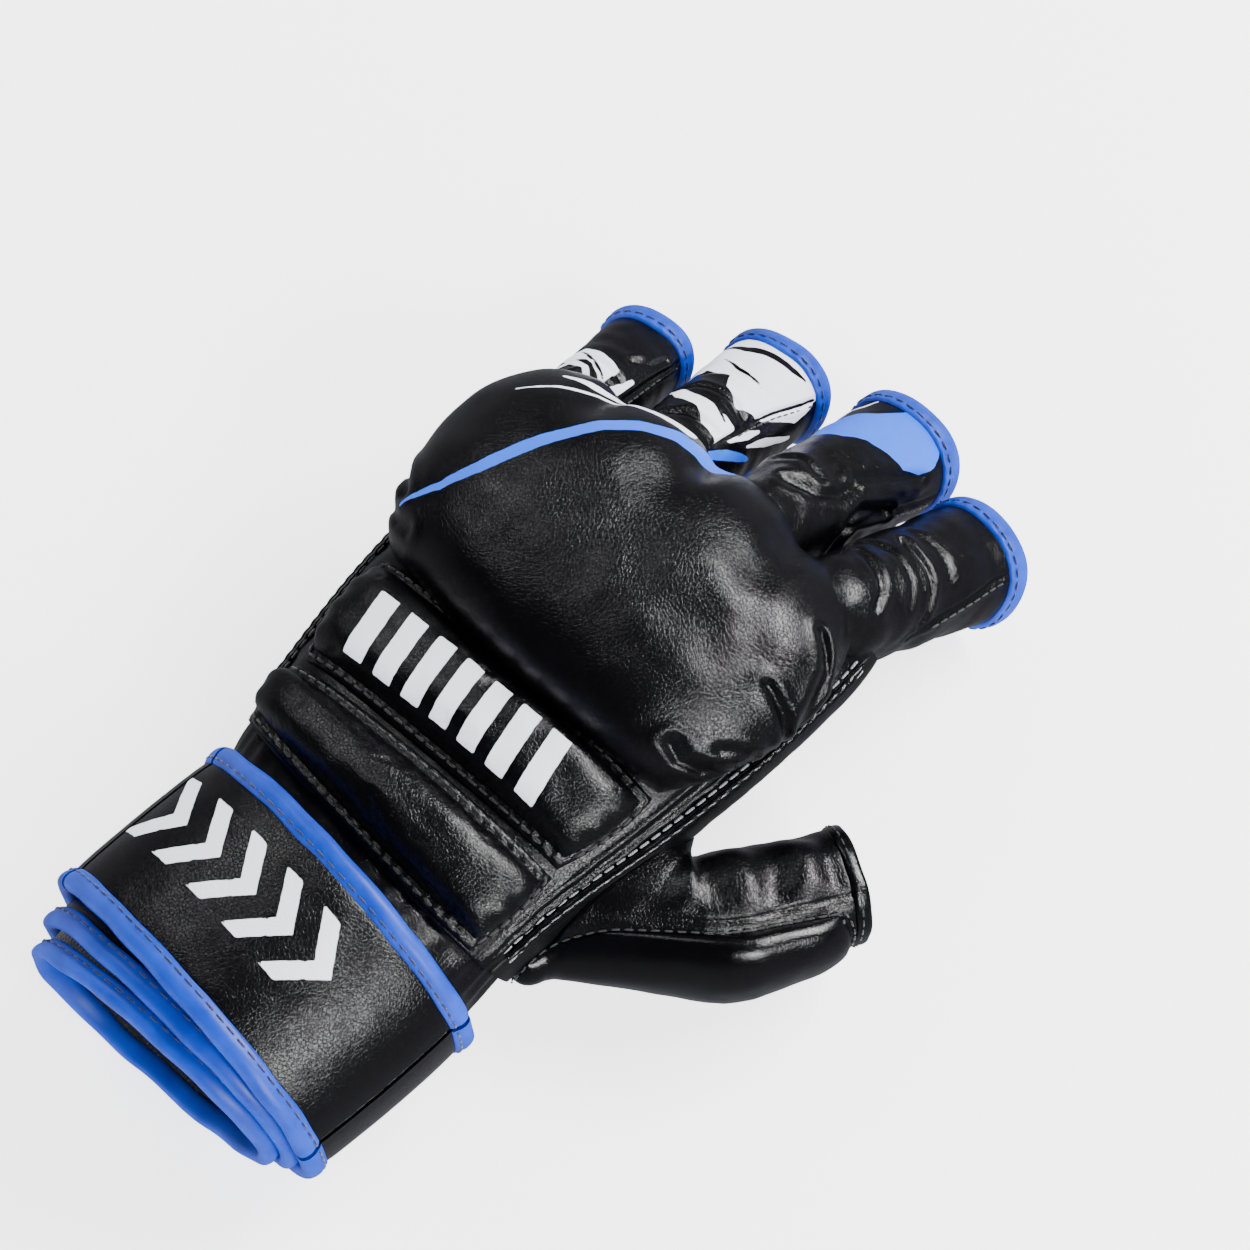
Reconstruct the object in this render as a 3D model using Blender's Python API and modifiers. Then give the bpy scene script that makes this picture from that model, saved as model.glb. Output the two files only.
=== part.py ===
"""Left-hand half-finger training glove, as an assembly of separate pieces.

Run with: blender --background --python part.py

Palm down on a table: +Y runs to the fingertips, +X to the thumb, +Z out of the back of the hand.
Dimensions are in millimetres, and mesh points are written in metres.
"""

import math

import bmesh
import bpy
from mathutils import Matrix, Vector

MM = 0.001
GAP = 0.4  # clearance kept between neighbouring pieces
LEATHER = 1.6  # thickness of a leather panel
SKIN = 1.2  # thickness of a pad's leather cover
FOAM_SHARE = 0.93  # a foam core's outline as a share of its cover's

# The origin is the middle of the glove's footprint, on the table.
ORIGIN_X = 5.92
ORIGIN_Y = 36.95
ORIGIN_Z = 0.12

HAND_YAW = 6  # the hand leans this many degrees to the little finger's side of the strap's axis

# Hand shell: y along the hand, centre x, centre z, half width, half height.
HAND_STATIONS = (
    (-30, -1.5, 34.0, 41.5, 22.0),
    (0, -2.0, 35.5, 44.5, 20.5),
    (30, -0.5, 37.5, 49.5, 19.5),
    (60, 1.2, 39.0, 52.5, 17.5),
    (85, 1.2, 39.5, 54.0, 15.5),
    (105, 0.4, 39.0, 53.5, 14.0),
    (122, 0.0, 36.0, 52.5, 13.0),
)
HAND_POWER = 2.6  # superellipse exponent of the hand's cross-section
HAND_START = -23
HAND_END = 115
RADIAL_SEAM = 14  # section angle of the seam on the thumb side, in degrees
ULNAR_SEAM = 172
SEAM_HALF_GAP = 4.2

# Wrist: an oval tube. Layers are given by how far their outer face lies inside the outermost one.
WRIST_Z = 33.9
WRIST_HALF_WIDTH = 44.0
WRIST_HALF_HEIGHT = 33.0
WRIST_POWER = 2.2
STRAP_THICKNESS = 3.0
INNER_TURN_DEPTH = 5.1
INNER_TURN_THICKNESS = 2.6
CUFF_DEPTH = 8.9
CUFF_THICKNESS = 2.2
STRAP_START = -73
STRAP_END = -24.8
INNER_TURN_START = -78
INNER_TURN_SLANT = 0.07
CUFF_START = -83
CUFF_SLANT = 0.13
BINDING_WIDTH = 5.0
BINDING_PROUD = 0.8  # how far an edge binding stands out from its leather

# Strap closure, as section angles of the wrist.
FLAP_ROOT = 12
FLAP_TIP = 148
TAB_ROOT = 151
TAB_TIP = 187
PALM_TURN_START = 189
PALM_TURN_END = 369
HINGE_PROUD = 1.6  # how far the flap's fold lies outside the strap
HOOK_DEPTH = 3.3
LOOP_DEPTH = 4.2
PATCH_THICKNESS = 0.6

WRIST_PIVOT_Y = -23.9
WRIST_PIVOT_Z = 69.0
WRIST_RELIEF = 0.3  # the palm's wrist edge is cut back by this share of its depth below the pivot

# Fingers: pivot x, pivot y, splay and curl in degrees, half width and half height at base and mouth, length.
FINGERS = {
    "index": dict(x=40.5, y=97.5, splay=11, curl=33, base=(13.0, 14.2), mouth=(14.4, 13.8), length=38),
    "middle": dict(x=13.5, y=103.0, splay=3, curl=29, base=(13.2, 14.4), mouth=(14.8, 13.4), length=45),
    "ring": dict(x=-14.6, y=100.0, splay=-5, curl=28, base=(13.0, 14.0), mouth=(13.8, 12.8), length=40),
    "pinky": dict(x=-40.2, y=91.0, splay=-10, curl=28, base=(11.2, 11.8), mouth=(11.4, 11.2), length=34),
}
FINGER_POWER = 2.3

# Thumb sleeve, in the same terms, with its centre at the mouth of the gusset.
THUMB = dict(x=65.2, y=29.0, z=26.5, splay=31, curl=9, base=(13.6, 14.0), mouth=(13.2, 12.8), length=29)
THUMB_HOLE_Y = 16
THUMB_HOLE_Z = 31

MATERIALS = {
    "black_leather": ((0.012, 0.012, 0.014), 0.34),
    "black_palm_leather": ((0.014, 0.014, 0.016), 0.45),
    "blue_binding": ((0.02, 0.13, 0.62), 0.40),
    "foam": ((0.30, 0.30, 0.32), 0.95),
    "black_elastic": ((0.02, 0.02, 0.022), 0.85),
    "hook_loop": ((0.015, 0.015, 0.017), 0.95),
}


def material(name):
    found = bpy.data.materials.get(name)
    if found:
        return found
    colour, roughness = MATERIALS[name]
    made = bpy.data.materials.new(name)
    made.use_nodes = True
    shader = made.node_tree.nodes["Principled BSDF"]
    shader.inputs["Base Color"].default_value = (*colour, 1)
    shader.inputs["Roughness"].default_value = roughness
    shader.inputs["Metallic"].default_value = 0
    return made


def place(point):
    """A design point in millimetres, as a scene point in metres."""
    x, y, z = point
    return Vector((x - ORIGIN_X, y - ORIGIN_Y, z - ORIGIN_Z)) * MM


def smooth_stations(stations, y):
    """The station values at y, on a Catmull-Rom curve through the stations."""
    last = len(stations) - 2
    i = max(0, min(last, sum(1 for s in stations[1:-1] if s[0] <= y)))
    before, a, b, after = (stations[max(0, min(last + 1, i + k))] for k in (-1, 0, 1, 2))
    t = (y - a[0]) / (b[0] - a[0])
    values = []
    for k in range(1, len(a)):
        rise = b[k] - a[k]
        start = (b[k] - before[k]) / (b[0] - before[0]) * (b[0] - a[0])
        end = (after[k] - a[k]) / (after[0] - a[0]) * (b[0] - a[0])
        values.append(a[k] + t * (start + t * (3 * rise - 2 * start - end + t * (start + end - 2 * rise))))
    return values


def superellipse(half_width, half_height, power, degrees):
    """(across, up) on a superellipse, and its outward normal."""
    c, s = math.cos(math.radians(degrees)), math.sin(math.radians(degrees))
    across = half_width * math.copysign(abs(c) ** (2 / power), c)
    up = half_height * math.copysign(abs(s) ** (2 / power), s)
    slope_across = math.copysign(abs(across / half_width) ** (power - 1) / half_width, c)
    slope_up = math.copysign(abs(up / half_height) ** (power - 1) / half_height, s)
    size = math.hypot(slope_across, slope_up)
    return across, up, slope_across / size, slope_up / size


def turned(x, y, z):
    """A point of the straight hand, turned at the wrist by HAND_YAW."""
    s, c = math.sin(math.radians(HAND_YAW)), math.cos(math.radians(HAND_YAW))
    ahead = y - WRIST_PIVOT_Y
    return (x * c - ahead * s, WRIST_PIVOT_Y + x * s + ahead * c, z)


def straight_hand_point(degrees, y, out=0.0):
    """A point on the straight hand shell's outer face, moved out along the section's normal."""
    cx, cz, a, b = smooth_stations(HAND_STATIONS, y)
    across, up, nx, nz = superellipse(a, b, HAND_POWER, degrees)
    return (cx + across + out * nx, y, cz + up + out * nz)


def hand_point(degrees, y, out=0.0):
    return turned(*straight_hand_point(degrees, y, out))


def wrist_point(degrees, y, out=0.0):
    across, up, nx, nz = superellipse(WRIST_HALF_WIDTH, WRIST_HALF_HEIGHT, WRIST_POWER, degrees)
    return (across + out * nx, y, WRIST_Z + up + out * nz)


def digit_frame(splay, curl):
    """(side, along, up) of a digit that points splay degrees to the thumb side and curl degrees down."""
    s, c = math.radians(splay - HAND_YAW), math.radians(curl)
    side = Vector((math.cos(s), -math.sin(s), 0))
    along = Vector((math.sin(s) * math.cos(c), math.cos(s) * math.cos(c), -math.sin(c)))
    return side, along, side.cross(along)


def digit_point(digit, degrees, along_mm, out=0.0):
    """A point on a digit sleeve's outer face. Angle 0 faces the thumb side and 90 the back."""
    side, along, up = digit_frame(digit["splay"], digit["curl"])
    t = along_mm / digit["length"]
    a = digit["base"][0] + t * (digit["mouth"][0] - digit["base"][0])
    b = digit["base"][1] + t * (digit["mouth"][1] - digit["base"][1])
    across, rise, nx, nz = superellipse(a, b, FINGER_POWER, degrees)
    centre = digit["centre"] + along * along_mm
    return tuple(centre + side * (across + out * nx) + up * (rise + out * nz))


def collection(name):
    made = bpy.data.collections.new(name)
    bpy.context.scene.collection.children.link(made)
    return made


def mapped_grid(columns, rows, surface):
    """A bmesh grid whose vertex at (u, v), each 0 to 1, is moved to surface(u, v)."""
    bm = bmesh.new()
    bmesh.ops.create_grid(bm, x_segments=columns, y_segments=rows, size=1)
    for vertex in bm.verts:
        vertex.co = place(surface((vertex.co.x + 1) / 2, (vertex.co.y + 1) / 2))
    bmesh.ops.remove_doubles(bm, verts=bm.verts, dist=0.01 * MM)
    return bm


def face_outwards(bm):
    bm.normal_update()
    bmesh.ops.recalc_face_normals(bm, faces=bm.faces)


def add_object(name, bm, material_name, group, smooth=True):
    mesh = bpy.data.meshes.new(name)
    bm.to_mesh(mesh)
    bm.free()
    made = bpy.data.objects.new(name, mesh)
    mesh.materials.append(material(material_name))
    group.objects.link(made)
    if smooth:
        mesh.shade_smooth()
        mesh.set_sharp_from_angle(angle=math.radians(40))
    return made


def shell(name, columns, rows, surface, thickness, material_name, group):
    """An open mapped grid, thickened inwards by Solidify."""
    bm = mapped_grid(columns, rows, surface)
    middle = sum((v.co for v in bm.verts), Vector()) / len(bm.verts)
    bm.normal_update()
    facing = sum(f.normal.dot(f.calc_center_median() - middle) for f in bm.faces)
    if facing < 0:
        bmesh.ops.reverse_faces(bm, faces=bm.faces)
    made = add_object(name, bm, material_name, group)
    thicken = made.modifiers.new("thickness", "SOLIDIFY")
    thicken.thickness = thickness * MM
    thicken.offset = -1
    thicken.use_even_offset = True
    return made


def slab(name, columns, rows, lower, upper, material_name, group):
    """A closed body between two mapped surfaces with the same outline parameters."""
    bm = bmesh.new()
    bmesh.ops.create_grid(bm, x_segments=columns, y_segments=rows, size=1)
    spots = {vertex: ((vertex.co.x + 1) / 2, (vertex.co.y + 1) / 2) for vertex in bm.verts}
    raised = bmesh.ops.extrude_face_region(bm, geom=bm.faces[:], use_keep_orig=True)
    top = [item for item in raised["geom"] if isinstance(item, bmesh.types.BMVert)]
    for vertex in top:
        u, v = (vertex.co.x + 1) / 2, (vertex.co.y + 1) / 2
        vertex.co = place(upper(u, v))
    for vertex, (u, v) in spots.items():
        vertex.co = place(lower(u, v))
    face_outwards(bm)
    return add_object(name, bm, material_name, group)


def tube(name, points, radius, material_name, group, sides=2):
    """A round cord along a list of design points."""
    curve = bpy.data.curves.new(name, "CURVE")
    curve.dimensions = "3D"
    curve.bevel_depth = radius * MM
    curve.bevel_resolution = sides
    curve.use_fill_caps = True
    spline = curve.splines.new("POLY")
    spline.points.add(len(points) - 1)
    for spot, point in zip(spline.points, points):
        spot.co = (*place(point), 1)
    curve.materials.append(material(material_name))
    made = bpy.data.objects.new(name, curve)
    group.objects.link(made)
    return made


def cut(target, cutter):
    difference = target.modifiers.new("cut_" + cutter.name, "BOOLEAN")
    difference.operation = "DIFFERENCE"
    difference.object = cutter


def as_cutter(made):
    made.hide_render = True
    made.display_type = "WIRE"
    return made


def hinge_empty(name, point, group):
    made = bpy.data.objects.new(name, None)
    made.empty_display_size = 0.01
    made.location = place(point)
    group.objects.link(made)
    return made


def hang(pieces, empty):
    """Parents pieces to an empty and leaves them where they are."""
    for piece in pieces:
        piece.parent = empty
        piece.matrix_parent_inverse = Matrix.Translation(-empty.location)


# ---------------------------------------------------------------- hand shell


def wrist_edge(degrees):
    """Where the hand shell starts: parallel to the strap, and cut back below the wrist pivot."""
    x, _, z = straight_hand_point(degrees, HAND_START)
    return HAND_START - x * math.tan(math.radians(HAND_YAW)) + WRIST_RELIEF * (WRIST_PIVOT_Z - z)


def make_hand_panels(group):
    def back(u, v):
        angle = RADIAL_SEAM + SEAM_HALF_GAP + u * (ULNAR_SEAM - RADIAL_SEAM - 2 * SEAM_HALF_GAP)
        start = wrist_edge(angle)
        return hand_point(angle, start + v * (HAND_END - start))

    def palm(u, v):
        first = ULNAR_SEAM + SEAM_HALF_GAP
        last = 360 + RADIAL_SEAM - SEAM_HALF_GAP
        angle = first + u * (last - first)
        start = wrist_edge(angle)
        return hand_point(angle, start + v * (HAND_END - start))

    return [
        shell("back_panel", 18, 9, back, LEATHER, "black_leather", group),
        shell("palm_panel", 20, 9, palm, LEATHER, "black_palm_leather", group),
    ]


def make_seam_piping(group):
    """The turned leather bead in the gap between the back and palm panels."""
    made = []
    for name, angle, first, last in (
        ("radial_seam_piping", RADIAL_SEAM, -16, 94),
        ("ulnar_seam_piping", ULNAR_SEAM, -8, 90),
    ):
        steps = 12
        points = [hand_point(angle, first + (last - first) * i / steps, -0.3) for i in range(steps + 1)]
        made.append(tube(name, points, 0.9, "black_leather", group))
    return made


# ---------------------------------------------------------------- padding


def pad_spot(a, b, corner):
    """A spot of the square from -1 to 1, with its corners pulled in by corner, 0 to 0.5."""
    return a * math.sqrt(1 - corner * b * b), b * math.sqrt(1 - corner * a * a)


def dome(a, b, flatness):
    """Height share of a stuffed pad, 1 in the middle and 0 at its edge."""
    return max(0.0, (1 - abs(a) ** flatness) * (1 - abs(b) ** flatness)) ** 0.5


def towards_edges(u):
    """u from 0 to 1 as -1 to 1, with finer steps at the ends."""
    return math.sin(math.pi * (u - 0.5))


def make_pad(name, surface, cells, height, corner, flatness, group):
    """A leather cover domed over a foam core. Both follow surface(a, b, out), with a and b from -1 to 1."""

    def at(u, v, share, out):
        a, b = towards_edges(u), towards_edges(v)
        p, q = pad_spot(a, b, corner)
        return surface(p * share, q * share, GAP + out(height * dome(a, b, flatness)))

    columns, rows = cells
    cover = slab(
        name + "_cover",
        columns,
        rows,
        lambda u, v: at(u, v, 1.0, lambda rise: rise),
        lambda u, v: at(u, v, 1.0, lambda rise: rise + SKIN),
        "black_leather",
        group,
    )
    foam = slab(
        name + "_foam",
        columns,
        rows,
        lambda u, v: at(u, v, FOAM_SHARE, lambda rise: 0.0),
        lambda u, v: at(u, v, FOAM_SHARE, lambda rise: max(rise - GAP, 0.5)),
        "foam",
        group,
    )
    return [cover, foam]


def hand_patch(angles, ys, bow=0.0, slants=(0.0, 0.0)):
    """A surface on the back of the hand for a pad. bow moves the middle of its finger edge forwards,
    and slants tilt its wrist edge and its finger edge."""

    def surface(p, q, out):
        angle = sum(angles) / 2 + p * (angles[1] - angles[0]) / 2
        y = sum(ys) / 2 + q * (ys[1] - ys[0]) / 2 + bow * (1 + q) / 2 * (1 - p * p)
        y += straight_hand_point(angle, y)[0] * (slants[0] * (1 - q) + slants[1] * (1 + q)) / 2
        return hand_point(angle, y, out)

    return surface


def make_hand_pads(group):
    knuckle = hand_patch((21, 164), (32.5, 105.5), bow=5.5, slants=(-0.05, 0.07))
    upper_bar = hand_patch((36, 147), (6.5, 32.0), slants=(0, -0.05))

    def lower_bar(p, q, out):
        angle = 92 + 58 * p
        start = wrist_edge(angle) + 1.5
        return hand_point(angle, start + (5.5 - start) * (1 + q) / 2, out)

    made = make_pad("knuckle_pad", knuckle, (16, 12), 18.0, 0.25, 3.2, group)
    made += make_pad("upper_bar", upper_bar, (12, 6), 7.0, 0.08, 4.0, group)
    made += make_pad("lower_bar", lower_bar, (12, 6), 7.0, 0.08, 4.0, group)
    return made


# ---------------------------------------------------------------- fingers


def prepare_fingers():
    """Adds each finger's pivot, on the palm crease, and the centre of its sleeve's base."""
    for digit in FINGERS.values():
        _, _, up = digit_frame(digit["splay"], digit["curl"])
        cx, cz, a, b = smooth_stations(HAND_STATIONS, digit["y"])
        share = abs((digit["x"] - cx) / a)
        crease = cz - b * (1 - share**HAND_POWER) ** (1 / HAND_POWER)
        digit["pivot"] = Vector(turned(digit["x"], digit["y"], crease))
        digit["centre"] = digit["pivot"] + up * digit["base"][1]


def make_finger(name, digit, group):
    side_gap = 1.6  # degrees between the back and palm halves

    def half(first, last):
        return lambda u, v: digit_point(digit, first + u * (last - first), v * digit["length"])

    def band(u, v):
        along = digit["length"] + GAP + v * BINDING_WIDTH
        return digit_point(digit, 360 * u, along, BINDING_PROUD)

    return [
        shell(f"{name}_back", 12, 4, half(side_gap, 180 - side_gap), LEATHER, "black_leather", group),
        shell(
            f"{name}_palm", 12, 4, half(180 + side_gap, 360 - side_gap), LEATHER, "black_palm_leather", group
        ),
        shell(f"{name}_binding", 24, 1, band, LEATHER + 2 * BINDING_PROUD, "blue_binding", group),
    ]


def finger_room_cutter(name, digit, group):
    """A block that clears the hand panels from the finger sleeve's base plane outwards."""
    side, along, up = digit_frame(digit["splay"], digit["curl"])
    bm = bmesh.new()
    bmesh.ops.create_cube(bm, size=1)
    depth, width, height = 60, 30, 60
    for vertex in bm.verts:
        x, y, z = vertex.co
        point = digit["centre"] + side * (x * width) + along * ((y + 0.5) * depth - 0.9) + up * (z * height)
        vertex.co = place(point)
    face_outwards(bm)
    return as_cutter(add_object("room_" + name, bm, "foam", group, smooth=False))


# ---------------------------------------------------------------- thumb


def gusset_point(degrees, v, out=0.0):
    """A point on the gusset, from its root around the thumb hole, v = 0, to the thumb sleeve, v = 1."""
    c, s = math.cos(math.radians(degrees)), math.sin(math.radians(degrees))
    root = Vector(hand_point(-20 + 28 * s, THUMB_HOLE_Y - 23 * c, 2.8 + out))
    end = Vector(digit_point(THUMB, degrees, -1.2 - 1.2 * (1 - c), out))
    return root.lerp(end, v)


def make_thumb_gusset(group):
    """The leather collar from the hand shell to the thumb sleeve, fixed to the hand, and the pad on it."""

    def patch(p, q, out):
        return tuple(gusset_point(-8 + 52 * p, 0.5 + 0.44 * q, out))

    gusset = shell(
        "thumb_gusset", 24, 3, lambda u, v: gusset_point(360 * u, v), LEATHER, "black_leather", group
    )
    return [gusset] + make_pad("thenar_pad", patch, (10, 8), 5.5, 0.15, 3.0, group)


def make_thumb(group):
    def sleeve(u, v):
        return digit_point(THUMB, 360 * u, v * THUMB["length"])

    def hem(u, v):
        return digit_point(THUMB, 360 * u, THUMB["length"] + GAP + v * 3.0, 0.3)

    def patch(p, q, out):
        return digit_point(THUMB, -8 + 58 * p, THUMB["length"] / 2 * (1 + 0.94 * q), out)

    made = [
        shell("thumb_sleeve", 24, 4, sleeve, LEATHER, "black_leather", group),
        shell("thumb_hem", 24, 1, hem, LEATHER + 0.6, "black_leather", group),
    ]
    return made + make_pad("thumb_pad", patch, (10, 8), 5.5, 0.15, 3.0, group)


def thumb_hole_cutter(group):
    """The opening in the palm panel that the thumb goes through."""
    bm = bmesh.new()
    bmesh.ops.create_cone(bm, cap_ends=True, segments=24, radius1=1, radius2=1, depth=1)
    half_y, half_z, depth = 19.0, 10.0, 34
    for vertex in bm.verts:
        x, y, z = vertex.co
        vertex.co = place(turned(44 + z * depth, THUMB_HOLE_Y + x * half_y, THUMB_HOLE_Z + y * half_z))
    face_outwards(bm)
    return as_cutter(add_object("thumb_hole", bm, "foam", group, smooth=False))


# ---------------------------------------------------------------- wrist


def wrist_shell(name, angles, ys, depth, thickness, columns, material_name, group, slants=(0.0, 0.0)):
    """A layer of the wrist. slants tilt its elbow edge and its hand edge along the forearm."""
    first, last = angles

    def surface(u, v):
        x, _, z = wrist_point(first + u * (last - first), 0, -depth)
        y = ys[0] + v * (ys[1] - ys[0])
        return (x, y + x * (slants[0] * (1 - v) + slants[1] * v), z)

    return shell(name, columns, 1, surface, thickness, material_name, group)


def make_bound_strap(name, angles, columns, group):
    """A stretch of the outermost strap: a leather face between two blue edge bindings."""
    inner_start, inner_end = STRAP_START + BINDING_WIDTH, STRAP_END - BINDING_WIDTH
    band = STRAP_THICKNESS + BINDING_PROUD
    lower, upper = (STRAP_START, inner_start - GAP), (inner_end + GAP, STRAP_END)
    face = (inner_start, inner_end)
    return [
        wrist_shell(name, angles, face, 0, STRAP_THICKNESS, columns, "black_leather", group),
        wrist_shell(
            name + "_lower_binding", angles, lower, -BINDING_PROUD, band, columns, "blue_binding", group
        ),
        wrist_shell(
            name + "_upper_binding", angles, upper, -BINDING_PROUD, band, columns, "blue_binding", group
        ),
    ]


def make_bound_layer(name, start, slant, depth, thickness, material_name, group):
    """A full turn round the wrist with a blue binding on its elbow edge."""
    full, columns = (0, 360), 28
    top = start + BINDING_WIDTH
    body = (top, STRAP_END - 1)
    edge = (start, top - GAP)
    binding_depth, binding_thickness = depth - BINDING_PROUD, thickness + BINDING_PROUD
    return [
        wrist_shell(name, full, body, depth, thickness, columns, material_name, group, slants=(slant, 0)),
        wrist_shell(
            name + "_binding", full, edge, binding_depth, binding_thickness, columns, "blue_binding", group,
            slants=(slant, slant),
        ),
    ]


def patch_area():
    return (TAB_ROOT + 2, TAB_TIP - 1), (STRAP_START + 10, STRAP_END - 10)


def make_wrist(group):
    """The cuff, the strap's inner turn and the fixed part of its outer turn."""
    angles, ys = patch_area()
    made = make_bound_layer(
        "cuff", CUFF_START, CUFF_SLANT, CUFF_DEPTH, CUFF_THICKNESS, "black_elastic", group
    )
    made += make_bound_layer(
        "inner_turn", INNER_TURN_START, INNER_TURN_SLANT, INNER_TURN_DEPTH, INNER_TURN_THICKNESS,
        "black_leather", group,
    )
    made.append(wrist_shell("loop_patch", angles, ys, LOOP_DEPTH, PATCH_THICKNESS, 6, "hook_loop", group))
    return made + make_bound_strap("palm_turn", (PALM_TURN_START, PALM_TURN_END), 16, group)


def make_flap(group):
    return make_bound_strap("strap_flap", (FLAP_ROOT, FLAP_TIP), 14, group)


def make_tab(group):
    angles, ys = patch_area()
    made = make_bound_strap("strap_tab", (TAB_ROOT, TAB_TIP), 6, group)
    made.append(wrist_shell("hook_patch", angles, ys, HOOK_DEPTH, PATCH_THICKNESS, 6, "hook_loop", group))
    return made


# ---------------------------------------------------------------- assembly


def clear_scene():
    for existing in list(bpy.data.objects):
        bpy.data.objects.remove(existing)


def main():
    clear_scene()
    glove = collection("mma_glove")
    cutters = collection("cutters")
    prepare_fingers()
    THUMB["centre"] = Vector(turned(THUMB["x"], THUMB["y"], THUMB["z"]))

    back_panel, palm_panel = make_hand_panels(glove)
    make_seam_piping(glove)
    make_hand_pads(glove)
    make_thumb_gusset(glove)
    for name, digit in FINGERS.items():
        hang(make_finger(name, digit, glove), hinge_empty(name + "_hinge", digit["pivot"], glove))
        room = finger_room_cutter(name, digit, cutters)
        cut(back_panel, room)
        cut(palm_panel, room)
    cut(palm_panel, thumb_hole_cutter(cutters))

    thumb_pivot = Vector(digit_point(THUMB, 180, 0))
    hang(make_thumb(glove), hinge_empty("thumb_hinge", thumb_pivot, glove))

    hang(make_wrist(glove), hinge_empty("wrist_hinge", (0, WRIST_PIVOT_Y, WRIST_PIVOT_Z), glove))
    flap_fold = wrist_point(FLAP_ROOT - 1.5, (STRAP_START + STRAP_END) / 2, HINGE_PROUD)
    tab_fold = wrist_point(TAB_ROOT - 1.5, (STRAP_START + STRAP_END) / 2, HINGE_PROUD)
    hang(make_flap(glove), hinge_empty("strap_hinge", flap_fold, glove))
    hang(make_tab(glove), hinge_empty("tab_hinge", tab_fold, glove))


main()
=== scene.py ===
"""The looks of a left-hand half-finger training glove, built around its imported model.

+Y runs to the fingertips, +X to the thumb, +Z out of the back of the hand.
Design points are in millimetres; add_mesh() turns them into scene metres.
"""

import math

import bpy
import numpy as np
from mathutils import Matrix, Vector, noise


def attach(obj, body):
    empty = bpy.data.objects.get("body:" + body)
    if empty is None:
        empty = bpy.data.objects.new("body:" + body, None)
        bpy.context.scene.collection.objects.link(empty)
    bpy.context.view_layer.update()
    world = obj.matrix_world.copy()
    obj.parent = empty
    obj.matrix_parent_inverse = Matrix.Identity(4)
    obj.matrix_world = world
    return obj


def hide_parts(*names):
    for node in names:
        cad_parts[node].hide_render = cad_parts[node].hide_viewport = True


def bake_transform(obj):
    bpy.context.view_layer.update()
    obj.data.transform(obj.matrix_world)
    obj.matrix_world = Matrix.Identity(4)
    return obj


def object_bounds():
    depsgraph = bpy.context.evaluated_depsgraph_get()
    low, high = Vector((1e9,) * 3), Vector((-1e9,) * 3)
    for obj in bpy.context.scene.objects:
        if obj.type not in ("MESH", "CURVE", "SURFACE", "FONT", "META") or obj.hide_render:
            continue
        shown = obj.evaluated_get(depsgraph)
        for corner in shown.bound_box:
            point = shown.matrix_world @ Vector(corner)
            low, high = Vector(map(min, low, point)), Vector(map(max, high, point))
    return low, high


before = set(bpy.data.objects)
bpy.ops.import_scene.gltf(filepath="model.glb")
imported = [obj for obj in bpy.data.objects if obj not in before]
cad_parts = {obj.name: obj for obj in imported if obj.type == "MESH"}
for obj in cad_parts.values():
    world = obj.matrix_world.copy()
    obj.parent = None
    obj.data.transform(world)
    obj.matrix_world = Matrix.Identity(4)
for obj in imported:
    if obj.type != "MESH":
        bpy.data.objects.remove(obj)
cad_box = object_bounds()

MM = 0.001
ORIGIN = np.array((5.92, 36.95, 0.12))
HAND_YAW = 6

# ---------------------------------------------------------------- the glove's own sizes, as in the model

# y along the hand, centre x, centre z, half width, half height
HAND_STATIONS = np.array((
    (-30, -1.5, 34.0, 41.5, 22.0),
    (0, -2.0, 35.5, 44.5, 20.5),
    (30, -0.5, 37.5, 49.5, 19.5),
    (60, 1.2, 39.0, 52.5, 17.5),
    (85, 1.2, 39.5, 54.0, 15.5),
    (105, 0.4, 39.0, 53.5, 14.0),
    (122, 0.0, 36.0, 52.5, 13.0),
))
HAND_POWER = 2.6
RADIAL_SEAM, ULNAR_SEAM = 14, 172
WRIST_Z, WRIST_HALF_WIDTH, WRIST_HALF_HEIGHT, WRIST_POWER = 33.9, 44.0, 33.0, 2.2
STRAP_START, STRAP_END = -73, -24.8
WRIST_PIVOT_Y, WRIST_PIVOT_Z = -23.9, 69.0
TAPE = 5.0
OUTSIDE_PRINT = -5.0  # the distance given to points that no print reaches

FINGERS = {
    "index": dict(x=40.5, y=97.5, splay=11, curl=33, base=(13.0, 14.2), mouth=(14.4, 13.8), length=38),
    "middle": dict(x=13.5, y=103.0, splay=3, curl=29, base=(13.2, 14.4), mouth=(14.8, 13.4), length=45),
    "ring": dict(x=-14.6, y=100.0, splay=-5, curl=28, base=(13.0, 14.0), mouth=(13.8, 12.8), length=40),
    "pinky": dict(x=-40.2, y=91.0, splay=-10, curl=28, base=(11.2, 11.8), mouth=(11.4, 11.2), length=34),
}
FINGER_POWER = 2.3
FINGER_MM_PER_DEGREE = 0.235  # round a finger's outside
THUMB = dict(x=65.2, y=29.0, z=26.5, splay=31, curl=9, base=(13.6, 14.0), mouth=(13.2, 12.8), length=29)


def stations(y):
    """Centre x, centre z, half width and half height of the hand at y, on a Catmull-Rom curve."""
    table, y = HAND_STATIONS, np.asarray(y, float)
    last = len(table) - 2
    i = np.searchsorted(table[1:-1, 0], y, side="right")
    before, a, b, after = (table[np.clip(i + k, 0, last + 1)] for k in (-1, 0, 1, 2))
    span = b[..., 0] - a[..., 0]
    t = (y - a[..., 0]) / span
    values = []
    for k in range(1, 5):
        rise = b[..., k] - a[..., k]
        start = (b[..., k] - before[..., k]) / (b[..., 0] - before[..., 0]) * span
        end = (after[..., k] - a[..., k]) / (after[..., 0] - a[..., 0]) * span
        bend, twist = 3 * rise - 2 * start - end, start + end - 2 * rise
        values.append(a[..., k] + t * (start + t * (bend + t * twist)))
    return values


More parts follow.
